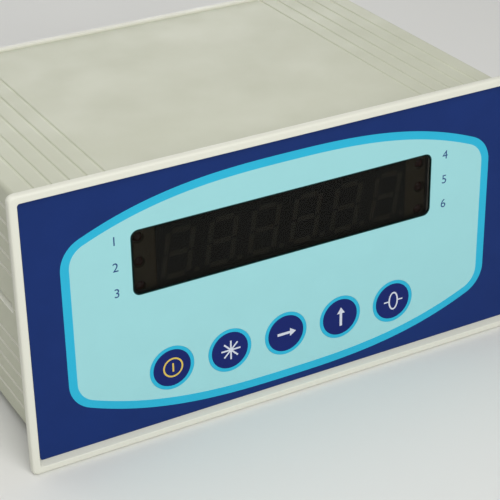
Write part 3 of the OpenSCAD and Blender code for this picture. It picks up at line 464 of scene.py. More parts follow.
@dataclass(frozen=True)
class RibbonVinyl(Finish):
    """Flat cable: round cores side by side, the first one red.

    The red ends at the place red_to along X. A core stands core_rise times the grain's depth proud.
    """

    core_pitch: float = 1.27 * MM
    core_rise: float = 30.0
    red_to: float = -38.5 * MM
    red: Rgb = (150, 44, 40)
    valley_colour: Rgb = (96, 98, 100)

    def tint(self, graph: Graph, colour: object, grain: bpy.types.Node) -> object:
        """Paints shade into the valleys between the cores, and reddens the first core.

        Args:
            graph: the material's graph.
            colour: the colour so far.
            grain: the placed grain group; not used.

        Returns:
            The changed colour.
        """
        first = graph.math("LESS_THAN", graph.along("X"), self.red_to)
        cores = graph.mix(first, colour, linear(self.red))
        valley_shade = graph.ramp(self.bulge(graph), low=0.0, high=0.25, start=0.5, end=0.0)
        return graph.mix(valley_shade, cores, linear(self.valley_colour))

    def height(self, graph: Graph, grain: bpy.types.Node) -> bpy.types.NodeSocket:
        """The round backs of the cores."""
        return graph.math("MULTIPLY", self.bulge(graph), self.core_rise)

    def bulge(self, graph: Graph) -> bpy.types.NodeSocket:
        """A half wave over each core."""
        wave = graph.math("MULTIPLY", graph.along("X"), math.pi / self.core_pitch)
        return graph.math("ABSOLUTE", graph.math("SINE", wave))


MOULD_FINENESS = 3600.0
BEZEL = Finish(
    "bezel_finish", (222, 222, 209), roughness=0.42, fineness=MOULD_FINENESS,
    mottle_share=0.01, wear_share=0.12, wear_colour=(240, 240, 230), dust_share=0.04,
)
# Painted light: a pale finish for the floors and walls of the clamp slots, standing in for the light their
# floors catch.
SLOT_PAINTED_LIGHT = Finish("slot_floor", (250, 250, 242), fineness=MOULD_FINENESS)
# Painted light: a paler finish in the grooves on the top and underside, which lifts the shade that falls in
# them.
GROOVE_PAINTED_LIGHT = Finish("groove_finish", (208, 210, 191), fineness=MOULD_FINENESS)
# Painted highlight: the housing's pale edge colour, at a high share, lights the lips of the grooves and
# stands in for the light they catch; it is partly edge wear.
HOUSING = Finish(
    "housing_finish", (195, 197, 177), roughness=0.46, fineness=MOULD_FINENESS, grain_depth=0.012 * MM,
    mottle_share=0.012, wear_share=0.5, wear_colour=(226, 227, 213), dust_share=0.05,
)
FILM_FINENESS = 5200.0
FILM_GRAIN = 0.003 * MM


def film(name: str, colour: Rgb, mottle_share: float = 0.02, speck_share: float = 0.0) -> Finish:
    """A satin print on film.

    Args:
        name: the finish's name.
        colour: the printed colour.
        mottle_share: how far the colour varies in soft patches.
        speck_share: how clear the small scuffs are.

    Returns:
        The finish.
    """
    return Finish(
        name, colour, roughness=0.36, fineness=FILM_FINENESS, grain_depth=FILM_GRAIN, specular=0.1,
        mottle_share=mottle_share, speck_share=speck_share, wear_colour=(120, 140, 190),
    )


PRINT_NAVY = film("print_navy", (22, 47, 108), 0.05, 0.03)
PRINT_CYAN = film("print_cyan", (45, 178, 213))
PRINT_AQUA = film("print_aqua", (156, 212, 216), 0.012)
PRINT_TEAL = film("print_teal", (14, 58, 58))
KEY_NAVY = film("key_navy", (22, 36, 104), 0.05, 0.03)
INK_WHITE = film("ink_white", (208, 212, 224))
INK_YELLOW = film("ink_yellow", (218, 190, 88))
INK_BLUE = film("ink_blue", (40, 70, 124))
SMOKE = SmokedFilm(
    "smoked_film", (10, 10, 6), roughness=0.2, roughness_spread=0.04, fineness=2400.0,
    grain_depth=0.002 * MM, mottle_share=0.1, specular=0.1, opacity=0.45,
)
DIGIT_BLACK = Finish("digit_black", (18, 18, 16), grain_depth=0.006 * MM)
DIGIT_BAR = MilkyPlastic("digit_bar", (70, 66, 54), grain_depth=0.004 * MM, mottle_share=0.06)
HOLDER = Finish("holder_moulding", (84, 74, 52), roughness=0.55, fineness=2600.0)
LAMP_RED = MilkyPlastic("lamp_epoxy", (74, 26, 20), roughness=0.2, fineness=1500.0, grain_depth=0.002 * MM)
PLUNGER = Finish("plunger_finish", (206, 206, 200), roughness=0.4, mottle_share=0.03, wear_share=0.2)
BLACK = Finish(
    "black_moulding", (30, 30, 32), roughness=0.44, mottle_share=0.1,
    wear_share=0.25, wear_colour=(92, 92, 94), dust_share=0.05,
)
BOARD = Laminate("board_mask", (28, 92, 54), roughness=0.32, fineness=2000.0, mottle_share=0.08, coat=0.2)
MAIN_BOARD = replace(BOARD, name="main_board_mask", second_axis="Y")
ZINC = Finish(
    "zinc_plate", (190, 192, 196), roughness=0.34, metallic=1.0, fineness=1800.0,
    grain_depth=0.004 * MM, mottle_share=0.1, wear_share=0.3, wear_colour=(236, 238, 240),
)
TIN = Finish(
    "tin_plate", (204, 204, 200), roughness=0.28, metallic=1.0, fineness=1400.0,
    grain_depth=0.004 * MM, mottle_share=0.08, wear_share=0.2, wear_colour=(240, 240, 238),
)
SOLDER = Finish(
    "solder", (196, 198, 200), roughness=0.22, metallic=1.0, fineness=1600.0,
    grain_depth=0.006 * MM, mottle_share=0.12,
)
GOLD = Finish(
    "contact_gold", (224, 188, 96), roughness=0.24, metallic=1.0, fineness=1600.0,
    grain_depth=0.003 * MM, mottle_share=0.06,
)
RIBBON = RibbonVinyl("ribbon_vinyl", (160, 164, 168), dust_share=0.05)
CORE = Laminations(
    "core_sheets", (92, 86, 80), metallic=0.6, fineness=2400.0, mottle_share=0.18, speck_share=0.1,
    wear_colour=(128, 84, 52),
)
BOBBIN = MilkyPlastic("bobbin_nylon_finish", (232, 226, 204), roughness=0.4, mottle_share=0.04)
TAPE = Finish(
    "polyester_tape", (226, 176, 48), roughness=0.26, fineness=900.0, grain_depth=0.03 * MM,
    stretch=(0.2, 0.2, 1.0), mottle_share=0.08, coat=0.4,
)
SLEEVE = Finish("capacitor_sleeve_finish", (36, 40, 84), roughness=0.3, coat=0.3)
CAN_TOP = Finish(
    "capacitor_top", (188, 190, 192), roughness=0.36, metallic=1.0, grain_depth=0.004 * MM, mottle_share=0.06
)
SINK = Finish(
    "sink_anodised", (58, 60, 62), roughness=0.4, metallic=0.7, fineness=2600.0, stretch=(1.0, 1.0, 0.05),
    mottle_share=0.08, wear_share=0.4, wear_colour=(170, 172, 174),
)
RELAY = Finish("relay_case", (40, 92, 168), roughness=0.36, mottle_share=0.04, wear_share=0.2)
TERMINAL = Finish(
    "terminal_moulding", (46, 140, 84), roughness=0.42, wear_share=0.25, wear_colour=(120, 196, 150),
    dust_share=0.06,
)
TERMINAL_DARK = replace(
    TERMINAL, name="header_moulding", colour=(34, 112, 66), wear_share=0.2, wear_colour=(110, 184, 140)
)
FUSE = Finish(
    "phenolic_black", (24, 24, 25), roughness=0.3, mottle_share=0.1, wear_share=0.2,
    wear_colour=(84, 84, 86), dust_share=0.05,
)
GLASS = ClearGlass(
    "fuse_tube_glass", (236, 242, 240), roughness=0.03, roughness_spread=0.01, mottle_share=0.0
)

NODE_FINISHES: dict[str, Finish] = {
    "front_overlay": PRINT_NAVY,
    "key_pad": KEY_NAVY,
    "key_plunger": PLUNGER,
    "switch_button": BLACK,
    "digit_module": DIGIT_BLACK,
    "display_window": SMOKE,
    "indicator_lamps": LAMP_RED,
    "lamp_holders": HOLDER,
    "tact_switches": BLACK,
    "display_board": BOARD,
    "main_board": MAIN_BOARD,
    "display_screws": ZINC,
    "shell_screws": ZINC,
    "rear_screws": ZINC,
    "board_screws": ZINC,
    "ribbon_headers": BLACK,
    "transformer_bobbin": BOBBIN,
    "transformer_winding": TAPE,
    "voltage_regulator": BLACK,
    "heat_sink": SINK,
    "shield_can": TIN,
    "logic_chips": BLACK,
    "relays": RELAY,
    "power_header": TERMINAL_DARK,
    "cell_header": TERMINAL_DARK,
    "control_header": TERMINAL_DARK,
    "power_plug": TERMINAL,
    "cell_plug": TERMINAL,
    "control_plug": TERMINAL,
    "power_plug_screws": ZINC,
    "cell_plug_screws": ZINC,
    "control_plug_screws": ZINC,
    "serial_port": TIN,
    "fuse_holder": FUSE,
    "fuse_cap": FUSE,
    "upper_shell": HOUSING,
    "lower_shell": HOUSING,
    "rear_cover": BEZEL,
    "front_bezel": BEZEL,
    "ribbon_cable": RIBBON,
    "transformer_core": CORE,
    "filter_capacitors": SLEEVE,
    "fuse_link": GLASS,
}


def body_of(node: str) -> str:
    """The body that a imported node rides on."""
    return frame["nodes"][node]["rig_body"]


def centre_of(node: str) -> Vector:
    """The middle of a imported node's box."""
    low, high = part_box(node)
    return (low + high) / 2


def show(name: str, mesh: bpy.types.Mesh, body: str, slot: Slot, *replaced: str) -> bpy.types.Object:
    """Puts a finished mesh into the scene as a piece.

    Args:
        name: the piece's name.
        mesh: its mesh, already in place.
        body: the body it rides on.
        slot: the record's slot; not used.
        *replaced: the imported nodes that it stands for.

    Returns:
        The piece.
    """
    piece = bpy.data.objects.new(name, mesh)
    bpy.context.scene.collection.objects.link(piece)
    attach(piece, body)
    if replaced:
        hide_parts(*replaced)
    LOG.info("%s: %d faces on %s", name, len(mesh.polygons), body)
    return piece


def smooth(mesh: bpy.types.Mesh, degrees: float = 40.0) -> None:
    """Shades a mesh smooth, with hard edges only where it turns by more than the given angle."""
    mesh.polygons.foreach_set("use_smooth", [True] * len(mesh.polygons))
    mesh.set_sharp_from_angle(angle=math.radians(degrees))


def mesh_from(name: str, shape: bmesh.types.BMesh, *finishes: Finish) -> bpy.types.Mesh:
    """Turns an edited shape into a mesh with its materials, and frees the shape.

    Args:
        name: the mesh's name.
        shape: the edited shape.
        *finishes: the finishes, in the order of their numbers.

    Returns:
        The mesh.
    """
    mesh = bpy.data.meshes.new(name)
    shape.to_mesh(mesh)
    shape.free()
    for finish in finishes:
        mesh.materials.append(finish.build())
    return mesh


def circle(radius: float, count: int = 48, centre: Point = (0.0, 0.0), squash: float = 1.0) -> Outline:
    """A circle, or an ellipse that is squash times as wide as high."""
    step = 2 * math.pi / count
    return [
        (centre[0] + squash * radius * math.cos(i * step), centre[1] + radius * math.sin(i * step))
        for i in range(count)
    ]


def rectangle(width: float, height: float, centre: Point = (0.0, 0.0), degrees: float = 0.0) -> Outline:
    """Draws a rectangle, turned about its middle.

    Args:
        width: its width.
        height: its height.
        centre: its middle.
        degrees: the turn.

    Returns:
        The closed outline.
    """
    turn = Matrix.Rotation(math.radians(degrees), 2)
    corners = [(-1, -1), (1, -1), (1, 1), (-1, 1)]
    places = [turn @ Vector((i * width / 2, k * height / 2)) for i, k in corners]
    return [(centre[0] + p.x, centre[1] + p.y) for p in places]


def round_rectangle(
    width: float, height: float, radius: float, centre: Point = (0.0, 0.0), steps: int = 8
) -> Outline:
    """Draws a rectangle with round corners.

    Args:
        width: its width.
        height: its height.
        radius: the radius of its corners.
        centre: its middle.
        steps: the number of short sides that make a corner.

    Returns:
        The closed outline.
    """
    outline = []
    quarter = math.pi / 2
    for number, (i, k) in enumerate([(1, 1), (-1, 1), (-1, -1), (1, -1)]):
        for step in range(steps + 1):
            angle = quarter * (number + step / steps)
            x = centre[0] + i * (width / 2 - radius) + radius * math.cos(angle)
            z = centre[1] + k * (height / 2 - radius) + radius * math.sin(angle)
            outline.append((x, z))
    return outline


def inside(point: Vector, outline: Outline) -> bool:
    """Says whether a point lies inside a closed outline.

    Args:
        point: the point.
        outline: the outline.

    Returns:
        True where it lies inside.
    """
    within = False
    for (x0, z0), (x1, z1) in zip(outline, outline[1:] + outline[:1]):
        if (z0 > point.y) != (z1 > point.y) and point.x < x0 + (x1 - x0) * (point.y - z0) / (z1 - z0):
            within = not within
    return within


@dataclass
class PrintedSheet:
    """A thin sheet that faces the front or the back, cut and printed along outlines.

    The sheet's printed face lies at the depth called front. Each layer is an outline and the number
    of its finish. A later layer covers an earlier one, and a finish of None cuts the sheet away.
    """

    name: str
    front: float
    back: float
    finishes: Sequence[Finish]
    layers: list[tuple[Outline, int | None]] = field(default_factory=list)

    def add(self, outline: Outline, finish: Finish | None) -> None:
        """Adds a layer on top of those before it."""
        number = None if finish is None else list(self.finishes).index(finish)
        self.layers.append((outline, number))

    def finish_at(self, point: Vector) -> int | None:
        """Finds the topmost layer at a point.

        Args:
            point: the point.

        Returns:
            The number of its finish, or None where the sheet is cut away.
        """
        found = None
        for outline, number in self.layers:
            if inside(point, outline):
                found = number
        return found

    def mesh(self) -> bpy.types.Mesh:
        """Cuts the sheet.

        Returns:
            A closed mesh with a printed front, a plain back and walls along every cut.
        """
        points: list[Vector] = []
        edges: list[tuple[int, int]] = []
        for outline, _ in self.layers:
            start = len(points)
            points.extend(Vector(place) for place in outline)
            count = len(outline)
            edges.extend((start + i, start + (i + 1) % count) for i in range(count))
        places, _, faces, *_ = delaunay_2d_cdt(points, edges, [], 0, 1e-8)
        shape = bmesh.new()
        fronts = [shape.verts.new((p.x, self.front, p.y)) for p in places]
        backs = [shape.verts.new((p.x, self.back, p.y)) for p in places]
        border: dict[tuple[int, int], int] = {}
        for face in faces:
            middle = sum((places[i] for i in face), Vector((0.0, 0.0))) / len(face)
            number = self.finish_at(middle)
            if number is None:
                continue
            shape.faces.new([fronts[i] for i in face]).material_index = number
            shape.faces.new([backs[i] for i in reversed(face)]).material_index = 0
            for a, b in zip(face, face[1:] + face[:1]):
                border[(a, b)] = number
        for (a, b), number in border.items():
            if (b, a) not in border:
                shape.faces.new([fronts[b], fronts[a], backs[a], backs[b]]).material_index = number
        loose = [v for v in shape.verts if not v.link_faces]
        bmesh.ops.delete(shape, geom=loose, context="VERTS")
        if self.front > self.back:
            bmesh.ops.reverse_faces(shape, faces=shape.faces[:])
        return mesh_from(self.name, shape, *self.finishes)


def softened(node: str, finish: Finish, slot: Slot, radius: float) -> bpy.types.Object:
    """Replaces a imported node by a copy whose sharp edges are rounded.

    Args:
        node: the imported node.
        finish: the finish of the copy.
        slot: the record's slot.
        radius: how far from an edge the rounding starts.

    Returns:
        The piece that stands for the node.
    """
    shape = bmesh.new()
    shape.from_mesh(frame["nodes"][node].data)
    bmesh.ops.remove_doubles(shape, verts=shape.verts[:], dist=1e-6)
    flat_turn, sharp_turn = math.radians(0.5), math.radians(35)
    bmesh.ops.dissolve_limit(shape, angle_limit=flat_turn, verts=shape.verts[:], edges=shape.edges[:])
    sharp = [e for e in shape.edges if len(e.link_faces) == 2 and e.calc_face_angle() > sharp_turn]
    bmesh.ops.bevel(
        shape, geom=sharp, offset=radius, offset_type="OFFSET", segments=2, profile=0.5,
        affect="EDGES", clamp_overlap=False,
    )
    for face in shape.faces:
        face.material_index = 0
    mesh = mesh_from(node + "_softened", shape, finish)
    smooth(mesh)
    piece = show(node + "_softened", mesh, body_of(node), slot, node)
    weighted = piece.modifiers.new("weighted_normals", "WEIGHTED_NORMAL")
    weighted.keep_sharp = True
    return piece


class GridTree:
    """Geometry Nodes tree that sets a small piece on a grid of places."""

    _tree: bpy.types.NodeTree | None = None

    @classmethod
    def tree(cls) -> bpy.types.NodeTree:
        """Builds the tree once: three nested lines of places, a jitter, the piece and its finish.

        Returns:
            The tree.
        """
        if cls._tree:
            return cls._tree
        tree = bpy.data.node_groups.new("grid_of_pieces", "GeometryNodeTree")
        sockets = tree.interface
        sockets.new_socket("Geometry", in_out="OUTPUT", socket_type="NodeSocketGeometry")
        sockets.new_socket("Geometry", in_out="INPUT", socket_type="NodeSocketGeometry")
        kinds = {
            "Piece": "NodeSocketObject", "Finish": "NodeSocketMaterial", "First place": "NodeSocketVector",
            "Columns": "NodeSocketInt", "Column step": "NodeSocketVector",
            "Rows": "NodeSocketInt", "Row step": "NodeSocketVector",
            "Blocks": "NodeSocketInt", "Block step": "NodeSocketVector",
            "Jitter": "NodeSocketVector", "Seed": "NodeSocketInt",
        }
        for label, kind in kinds.items():
            sockets.new_socket(label, in_out="INPUT", socket_type=kind)
        graph = Graph(tree)
        given = graph.node("NodeGroupInput").outputs
        lines = []
        for count, step, start in (
            ("Columns", "Column step", given["First place"]),
            ("Rows", "Row step", (0.0, 0.0, 0.0)),
            ("Blocks", "Block step", (0.0, 0.0, 0.0)),
        ):
            values = {"Count": given[count], "Start Location": start, "Offset": given[step]}
            lines.append(graph.node("GeometryNodeMeshLine", values).outputs[0])
        places = lines[0]
        for line in lines[1:]:
            spread = graph.node("GeometryNodeInstanceOnPoints", {"Points": places, "Instance": line})
            places = graph.node("GeometryNodeRealizeInstances", {"Geometry": spread.outputs[0]}).outputs[0]
        high = given["Jitter"]
        low = graph.node("ShaderNodeVectorMath", {0: high, "Scale": -1.0}, operation="SCALE").outputs[0]
        limits = {0: low, 1: high, "Seed": given["Seed"]}
        random = graph.node("FunctionNodeRandomValue", limits, data_type="FLOAT_VECTOR").outputs[0]
        moved = graph.node("GeometryNodeSetPosition", {"Geometry": places, "Offset": random}).outputs[0]
        piece = graph.node("GeometryNodeObjectInfo", {"Object": given["Piece"], "As Instance": True})
        each = {"Points": moved, "Instance": piece.outputs["Geometry"]}
        copies = graph.node("GeometryNodeInstanceOnPoints", each).outputs[0]
        solid = graph.node("GeometryNodeRealizeInstances", {"Geometry": copies}).outputs[0]
        dressed = graph.node("GeometryNodeSetMaterial", {"Geometry": solid, "Material": given["Finish"]})
        graph.node("NodeGroupOutput", {"Geometry": dressed.outputs[0]})
        cls._tree = tree
        return tree


@dataclass
class Grid:
    """Copies of one small piece at the crossings of up to three lines of places."""

    first: Vector
    columns: int = 1
    column_step: Vector = field(default_factory=Vector)
    rows: int = 1
    row_step: Vector = field(default_factory=Vector)
    blocks: int = 1
    block_step: Vector = field(default_factory=Vector)
    jitter: Vector = field(default_factory=Vector)
    seed: int = 7

    def mesh(self, name: str, piece: bpy.types.Mesh, finish: Finish) -> bpy.types.Mesh:
        """Runs the tree and returns the copies as one mesh.

        Args:
            name: the new mesh's name.
            piece: the small piece, round the origin.
            finish: the finish of all copies.

        Returns:
            The joined mesh, in place.
        """
        sample = bpy.data.objects.new(name + "_sample", piece)
        holder = bpy.data.objects.new(name + "_holder", bpy.data.meshes.new(name + "_holder"))
        for item in (sample, holder):
            bpy.context.scene.collection.objects.link(item)
        tree = GridTree.tree()
        modifier = holder.modifiers.new("grid", "NODES")
        modifier.node_group = tree
        values = {
            "Piece": sample, "Finish": finish.build(), "First place": self.first,
            "Columns": self.columns, "Column step": self.column_step,
            "Rows": self.rows, "Row step": self.row_step,
            "Blocks": self.blocks, "Block step": self.block_step,
            "Jitter": self.jitter, "Seed": self.seed,
        }
        for item in tree.interface.items_tree:
            if item.in_out == "INPUT" and item.name in values:
                modifier[item.identifier] = values[item.name]
        graph = bpy.context.evaluated_depsgraph_get()
        mesh = bpy.data.meshes.new_from_object(holder.evaluated_get(graph))
        mesh.name = name
        holder.modifiers.clear()
        for item in (sample, holder):
            bpy.data.objects.remove(item)
        return mesh


def joined(name: str, parts: Sequence[bpy.types.Mesh]) -> bpy.types.Mesh:
    """Joins meshes that lie in place into one, and keeps each one's materials.

    Args:
        name: the new mesh's name.
        parts: the meshes.

    Returns:
        The joined mesh.
    """
    shape = bmesh.new()
    materials: list[bpy.types.Material] = []
    for part in parts:
        start = len(shape.faces)
        shape.from_mesh(part)
        shape.faces.ensure_lookup_table()
        for face in shape.faces[start:]:
            material = part.materials[face.material_index]
            if material not in materials:
                materials.append(material)
            face.material_index = materials.index(material)
    mesh = bpy.data.meshes.new(name)
    shape.to_mesh(mesh)
    shape.free()
    for material in materials:
        mesh.materials.append(material)
    return mesh


def turned(
    name: str, profile: Sequence[Point], finish: Finish, axis: str = "Z", count: int = 24, tube: bool = False
) -> bpy.types.Mesh:
    """Turns a profile of radius and height into a closed mesh.

    Args:
        name: the mesh's name.
        profile: radius and height of each ring, from the bottom up.
        finish: its finish.
        axis: "Z" to stand up, "Y" to lie along the depth.
        count: the number of points round it.
        tube: whether the last ring joins the first one instead of closing with a flat end.

    Returns:
        The mesh, round the origin.
    """
    shape = bmesh.new()
    step = 2 * math.pi / count
    rings = []
    for radius, height in profile:
        ring = []
        for i in range(count):
            x, y = radius * math.cos(i * step), radius * math.sin(i * step)
            place = (x, y, height) if axis == "Z" else (x, height, -y)
            ring.append(shape.verts.new(place))
        rings.append(ring)
    pairs = list(zip(rings, rings[1:]))
    if tube:
        pairs.append((rings[-1], rings[0]))
    for low, high in pairs:
        for i in range(count):
            k = (i + 1) % count
            shape.faces.new([low[i], low[k], high[k], high[i]])
    if not tube:
        shape.faces.new(list(reversed(rings[0])))
        shape.faces.new(rings[-1])
    bmesh.ops.remove_doubles(shape, verts=shape.verts[:], dist=1e-7)
    bmesh.ops.recalc_face_normals(shape, faces=shape.faces[:])
    mesh = mesh_from(name, shape, finish)
    smooth(mesh)
    return mesh


def small_block(name: str, size: Vector, finish: Finish, bevel: float = 0.0) -> bpy.types.Mesh:
    """Makes a block round the origin, with its edges taken off.

    Args:
        name: the mesh's name.
        size: its three lengths.
        finish: its finish.
        bevel: how far from an edge it is cut, where not zero.

    Returns:
        The mesh.
    """
    shape = bmesh.new()
    bmesh.ops.create_cube(shape, size=1.0)
    bmesh.ops.scale(shape, vec=size, verts=shape.verts[:])
    if bevel:
        bmesh.ops.bevel(
            shape, geom=shape.edges[:], offset=bevel, segments=1, profile=0.5, affect="EDGES",
            clamp_overlap=True,
        )
    return mesh_from(name, shape, finish)


@dataclass
class FrontPanel:
    """The printed film, the painted shade behind the window's edge, the printed keys and the lamps' numbers.
    """

    half_width: float = 64.62 * MM
    middle_z: float = 38.9 * MM
    half_height: float = 33.9 * MM
    end_drop: float = 11.86 * MM
    drop_power: float = 2.71
    corner_r: float = 8.8 * MM
    band: float = 2.4 * MM
    film_r: float = 0.8 * MM
    window_w: float = 90.2 * MM
    window_h: float = 18.2 * MM
    window_z: float = 52.6 * MM
    window_r: float = 1.9 * MM
    window_line: float = 0.25 * MM
    mask_w: float = 0.9 * MM
    mask_h: float = 20.4 * MM
    mask_short: float = 0.3 * MM
    disc_r: float = 5.5 * MM
    hole_gap: float = 0.05 * MM
    stroke: float = 0.48 * MM
    sign_shift: float = 0.3 * MM
    ink_t: float = 0.02 * MM
    power_bar: float = 2.6 * MM
    power_ring_r: float = 2.95 * MM
    star_w: float = 5.8 * MM
    zero_ring_r: float = 2.85 * MM
    zero_ring_share: float = 0.56
    zero_bar: float = 1.5 * MM
    zero_bar_t: float = 0.4 * MM
    digit_share: float = 0.72
    lamp_rows: int = 3
    number_h: float = 2.6 * MM
    number_x: float = 49.8 * MM
    number_pitch: float = 7.4 * MM
    number_z: float = 52.8 * MM

    def barrel(self, inset: float) -> Outline:
        """The panel's outline: bowed long sides, straight ends and round corners.

        Args:
            inset: how far inside the outermost outline it runs.

        Returns:
            The closed outline.
        """
        width, height = self.half_width - inset, self.half_height - inset
        radius = self.corner_r - inset

        def edge(u: float) -> float:
            """The height of the bowed side at a place along it."""
            return height - self.end_drop * (u / self.half_width) ** self.drop_power

        def slope(u: float) -> float:
            """The slope of the bowed side at a place along it."""
            share = (u / self.half_width) ** (self.drop_power - 1)
            return -self.end_drop * self.drop_power * share / self.half_width

        low, high = 0.0, width
        halvings = 40
        for _ in range(halvings):
            middle = (low + high) / 2
            reach = middle + radius * slope(middle) / math.hypot(1, slope(middle))
            low, high = (middle, high) if reach < width - radius else (low, middle)
        touch = low
        centre_z = edge(touch) - radius / math.hypot(1, slope(touch))
        start = math.atan2(1, -slope(touch))
        steps, arc_steps = 28, 10
        quarter = [(touch * i / steps, edge(touch * i / steps)) for i in range(steps)]
        for i in range(arc_steps + 1):
            angle = start * (1 - i / arc_steps)
            quarter.append((width - radius + radius * math.cos(angle), centre_z + radius * math.sin(angle)))
        right = quarter + [(x, -z) for x, z in reversed(quarter)]
        left = [(-x, z) for x, z in reversed(right[1:-1])]
        return [(x, self.middle_z + z) for x, z in right + left]

    def film(self) -> None:
        """Builds the printed film."""
        low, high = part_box("front_overlay")
        inks = (PRINT_NAVY, PRINT_CYAN, PRINT_AQUA, PRINT_TEAL)
        sheet = PrintedSheet("front_overlay_print", low.y, high.y, inks)
        middle = (low + high) / 2
        whole = round_rectangle(high.x - low.x, high.z - low.z, self.film_r, (middle.x, middle.z))
        sheet.add(whole, PRINT_NAVY)
        sheet.add(self.barrel(0.0), PRINT_CYAN)
        sheet.add(self.barrel(self.band), PRINT_AQUA)
        window = (0.0, self.window_z)
        line_w, line_h = self.window_w + 2 * self.window_line, self.window_h + 2 * self.window_line
        sheet.add(round_rectangle(line_w, line_h, self.window_r + self.window_line, window), PRINT_TEAL)
        sheet.add(round_rectangle(self.window_w, self.window_h, self.window_r, window), None)
        for number in range(1, KEYS + 1):
            low_pad, high_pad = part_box(f"key_pad_{number}")
            radius = (high_pad.x - low_pad.x) / 2 + self.hole_gap
            place = centre_of(f"key_pad_{number}")
            sheet.add(circle(radius, KEY_STEPS, (place.x, place.z)), None)
        show("front_overlay_print", sheet.mesh(), body_of("front_overlay"), Slot.OVERLAY, "front_overlay")

    def window_edge(self) -> None:
        """Lays a thin black sheet behind the window's edge as painted shade, which hides the walls of the
        opening where shadow falls.
        """
        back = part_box("display_window")[1].y
        sheet = PrintedSheet("window_edge", back, back + self.ink_t, (DIGIT_BLACK,))
        window = (0.0, self.window_z)
        outer_w, inner_w = self.window_w - self.mask_short, self.window_w - 2 * self.mask_w
        inner_h = self.window_h - self.mask_w
        radius = self.window_r / 2
        sheet.add(round_rectangle(outer_w, self.mask_h, radius, window), DIGIT_BLACK)
        sheet.add(round_rectangle(inner_w, inner_h, radius, window), None)
        show("window_edge", sheet.mesh(), body_of("display_window"), Slot.WINDOW)

    def power_sign(self, at: Point) -> list[tuple[Outline, Finish]]:
        """A ring with an upright bar."""
        return [
            (circle(self.power_ring_r, centre=at), INK_YELLOW),
            (circle(self.power_ring_r - self.stroke, centre=at), KEY_NAVY),
            (rectangle(self.stroke, self.power_bar, at), INK_YELLOW),
        ]

    def star_sign(self, at: Point) -> list[tuple[Outline, Finish]]:
        """Four crossed bars."""
        turn = 45
        return [(rectangle(self.stroke, self.star_w, at, turn * i), INK_WHITE) for i in range(4)]

    def arrow_sign(self, at: Point, degrees: float) -> list[tuple[Outline, Finish]]:
        """Draws an arrow that points to the right, turned by the given angle.

        Args:
            at: its middle.
            degrees: the turn.

        Returns:
            Its one layer.
        """
        half_len, head, half_head = 2.9 * MM, 1.9 * MM, 1.25 * MM
        half_stroke = 0.4 * MM
        neck = half_len - head
        points = [
            (-half_len, -half_stroke), (neck, -half_stroke), (neck, -half_head), (half_len, 0.0),
            (neck, half_head), (neck, half_stroke), (-half_len, half_stroke),
        ]
        turn = Matrix.Rotation(math.radians(degrees), 2)
        places = [turn @ Vector(p) for p in points]
        return [([(at[0] + p.x, at[1] + p.y) for p in places], INK_WHITE)]

    def zero_sign(self, at: Point) -> list[tuple[Outline, Finish]]:
        """Draws a tall ring with a short bar on each side.

        Args:
            at: its middle.

        Returns:
            Its layers, from the lowest to the topmost.
        """
        ring_r, squash = self.zero_ring_r, self.zero_ring_share
        inner_r = ring_r - self.stroke
        inner_squash = (ring_r * squash - self.stroke) / inner_r
        side = ring_r * squash + self.zero_bar / 2
        steps = 40
        return [
            (rectangle(self.zero_bar, self.zero_bar_t, (at[0] - side, at[1])), INK_WHITE),
            (rectangle(self.zero_bar, self.zero_bar_t, (at[0] + side, at[1])), INK_WHITE),
            (circle(ring_r, steps, at, squash), INK_WHITE),
            (circle(inner_r, steps, at, inner_squash), KEY_NAVY),
        ]

    def key_prints(self) -> None:
        """Builds the five printed keys."""
        signs: list[Callable[[Point], list[tuple[Outline, Finish]]]] = [
            self.power_sign,
            self.star_sign,
            lambda at: self.arrow_sign(at, 0.0),
            lambda at: self.arrow_sign(at, 90.0),
            self.zero_sign,
        ]
        for number, sign in enumerate(signs, start=1):
            node = f"key_pad_{number}"
            low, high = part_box(node)
            place = centre_of(node)
            at = (place.x, place.z)
            name = f"key_{number}_print"
            sheet = PrintedSheet(name, low.y, high.y, (PRINT_CYAN, KEY_NAVY, INK_WHITE, INK_YELLOW))
            sheet.add(circle((high.x - low.x) / 2, KEY_STEPS, at), PRINT_CYAN)
            sheet.add(circle(self.disc_r, KEY_STEPS, at), KEY_NAVY)
            for outline, finish in sign((at[0] + self.sign_shift, at[1])):
                sheet.add(outline, finish)
            show(name, sheet.mesh(), body_of(node), Slot.KEY, node)

    def lamp_numbers(self) -> None:
        """Prints plain numbers beside the lamps, three on each side of the window."""
        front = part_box("front_overlay")[0].y
        parts = []
        for number in range(1, 2 * self.lamp_rows + 1):
            side = -1 if number <= self.lamp_rows else 1
            row = 1 - (number - 1) % self.lamp_rows
            place = (side * self.number_x, self.number_z + row * self.number_pitch)
            parts.append(self.number_mesh(str(number), place, front))
        show("lamp_numbers", joined("lamp_numbers", parts), body_of("front_overlay"), Slot.OVERLAY)

    def number_mesh(self, digits: str, place: Point, front: float) -> bpy.types.Mesh:
        """Makes a plain number as a thin layer of ink.

        Args:
            digits: the number.
            place: its centre on the panel.
            front: the depth of the film's front.

        Returns:
            The mesh, in place.
        """
        text = bpy.data.curves.new("number_" + digits, "FONT")
        text.body = digits
        text.size = self.number_h / self.digit_share
        text.align_x = "CENTER"
        text.align_y = "CENTER"
        text.extrude = self.ink_t / 2
        item = bpy.data.objects.new("number_" + digits, text)
        bpy.context.scene.collection.objects.link(item)
        graph = bpy.context.evaluated_depsgraph_get()
        mesh = bpy.data.meshes.new_from_object(item.evaluated_get(graph))
        bpy.data.objects.remove(item)
        upright = Matrix.Rotation(math.pi / 2, 4, "X")
        mesh.transform(Matrix.Translation((place[0], front - self.ink_t / 2, place[1])) @ upright)
        mesh.materials.clear()
        mesh.materials.append(INK_BLUE.build())
        return mesh

    def build(self) -> None:
        """Builds all that is printed on the front, and the painted shade behind the window's edge."""
        self.film()
        self.window_edge()
        self.key_prints()
        self.lamp_numbers()


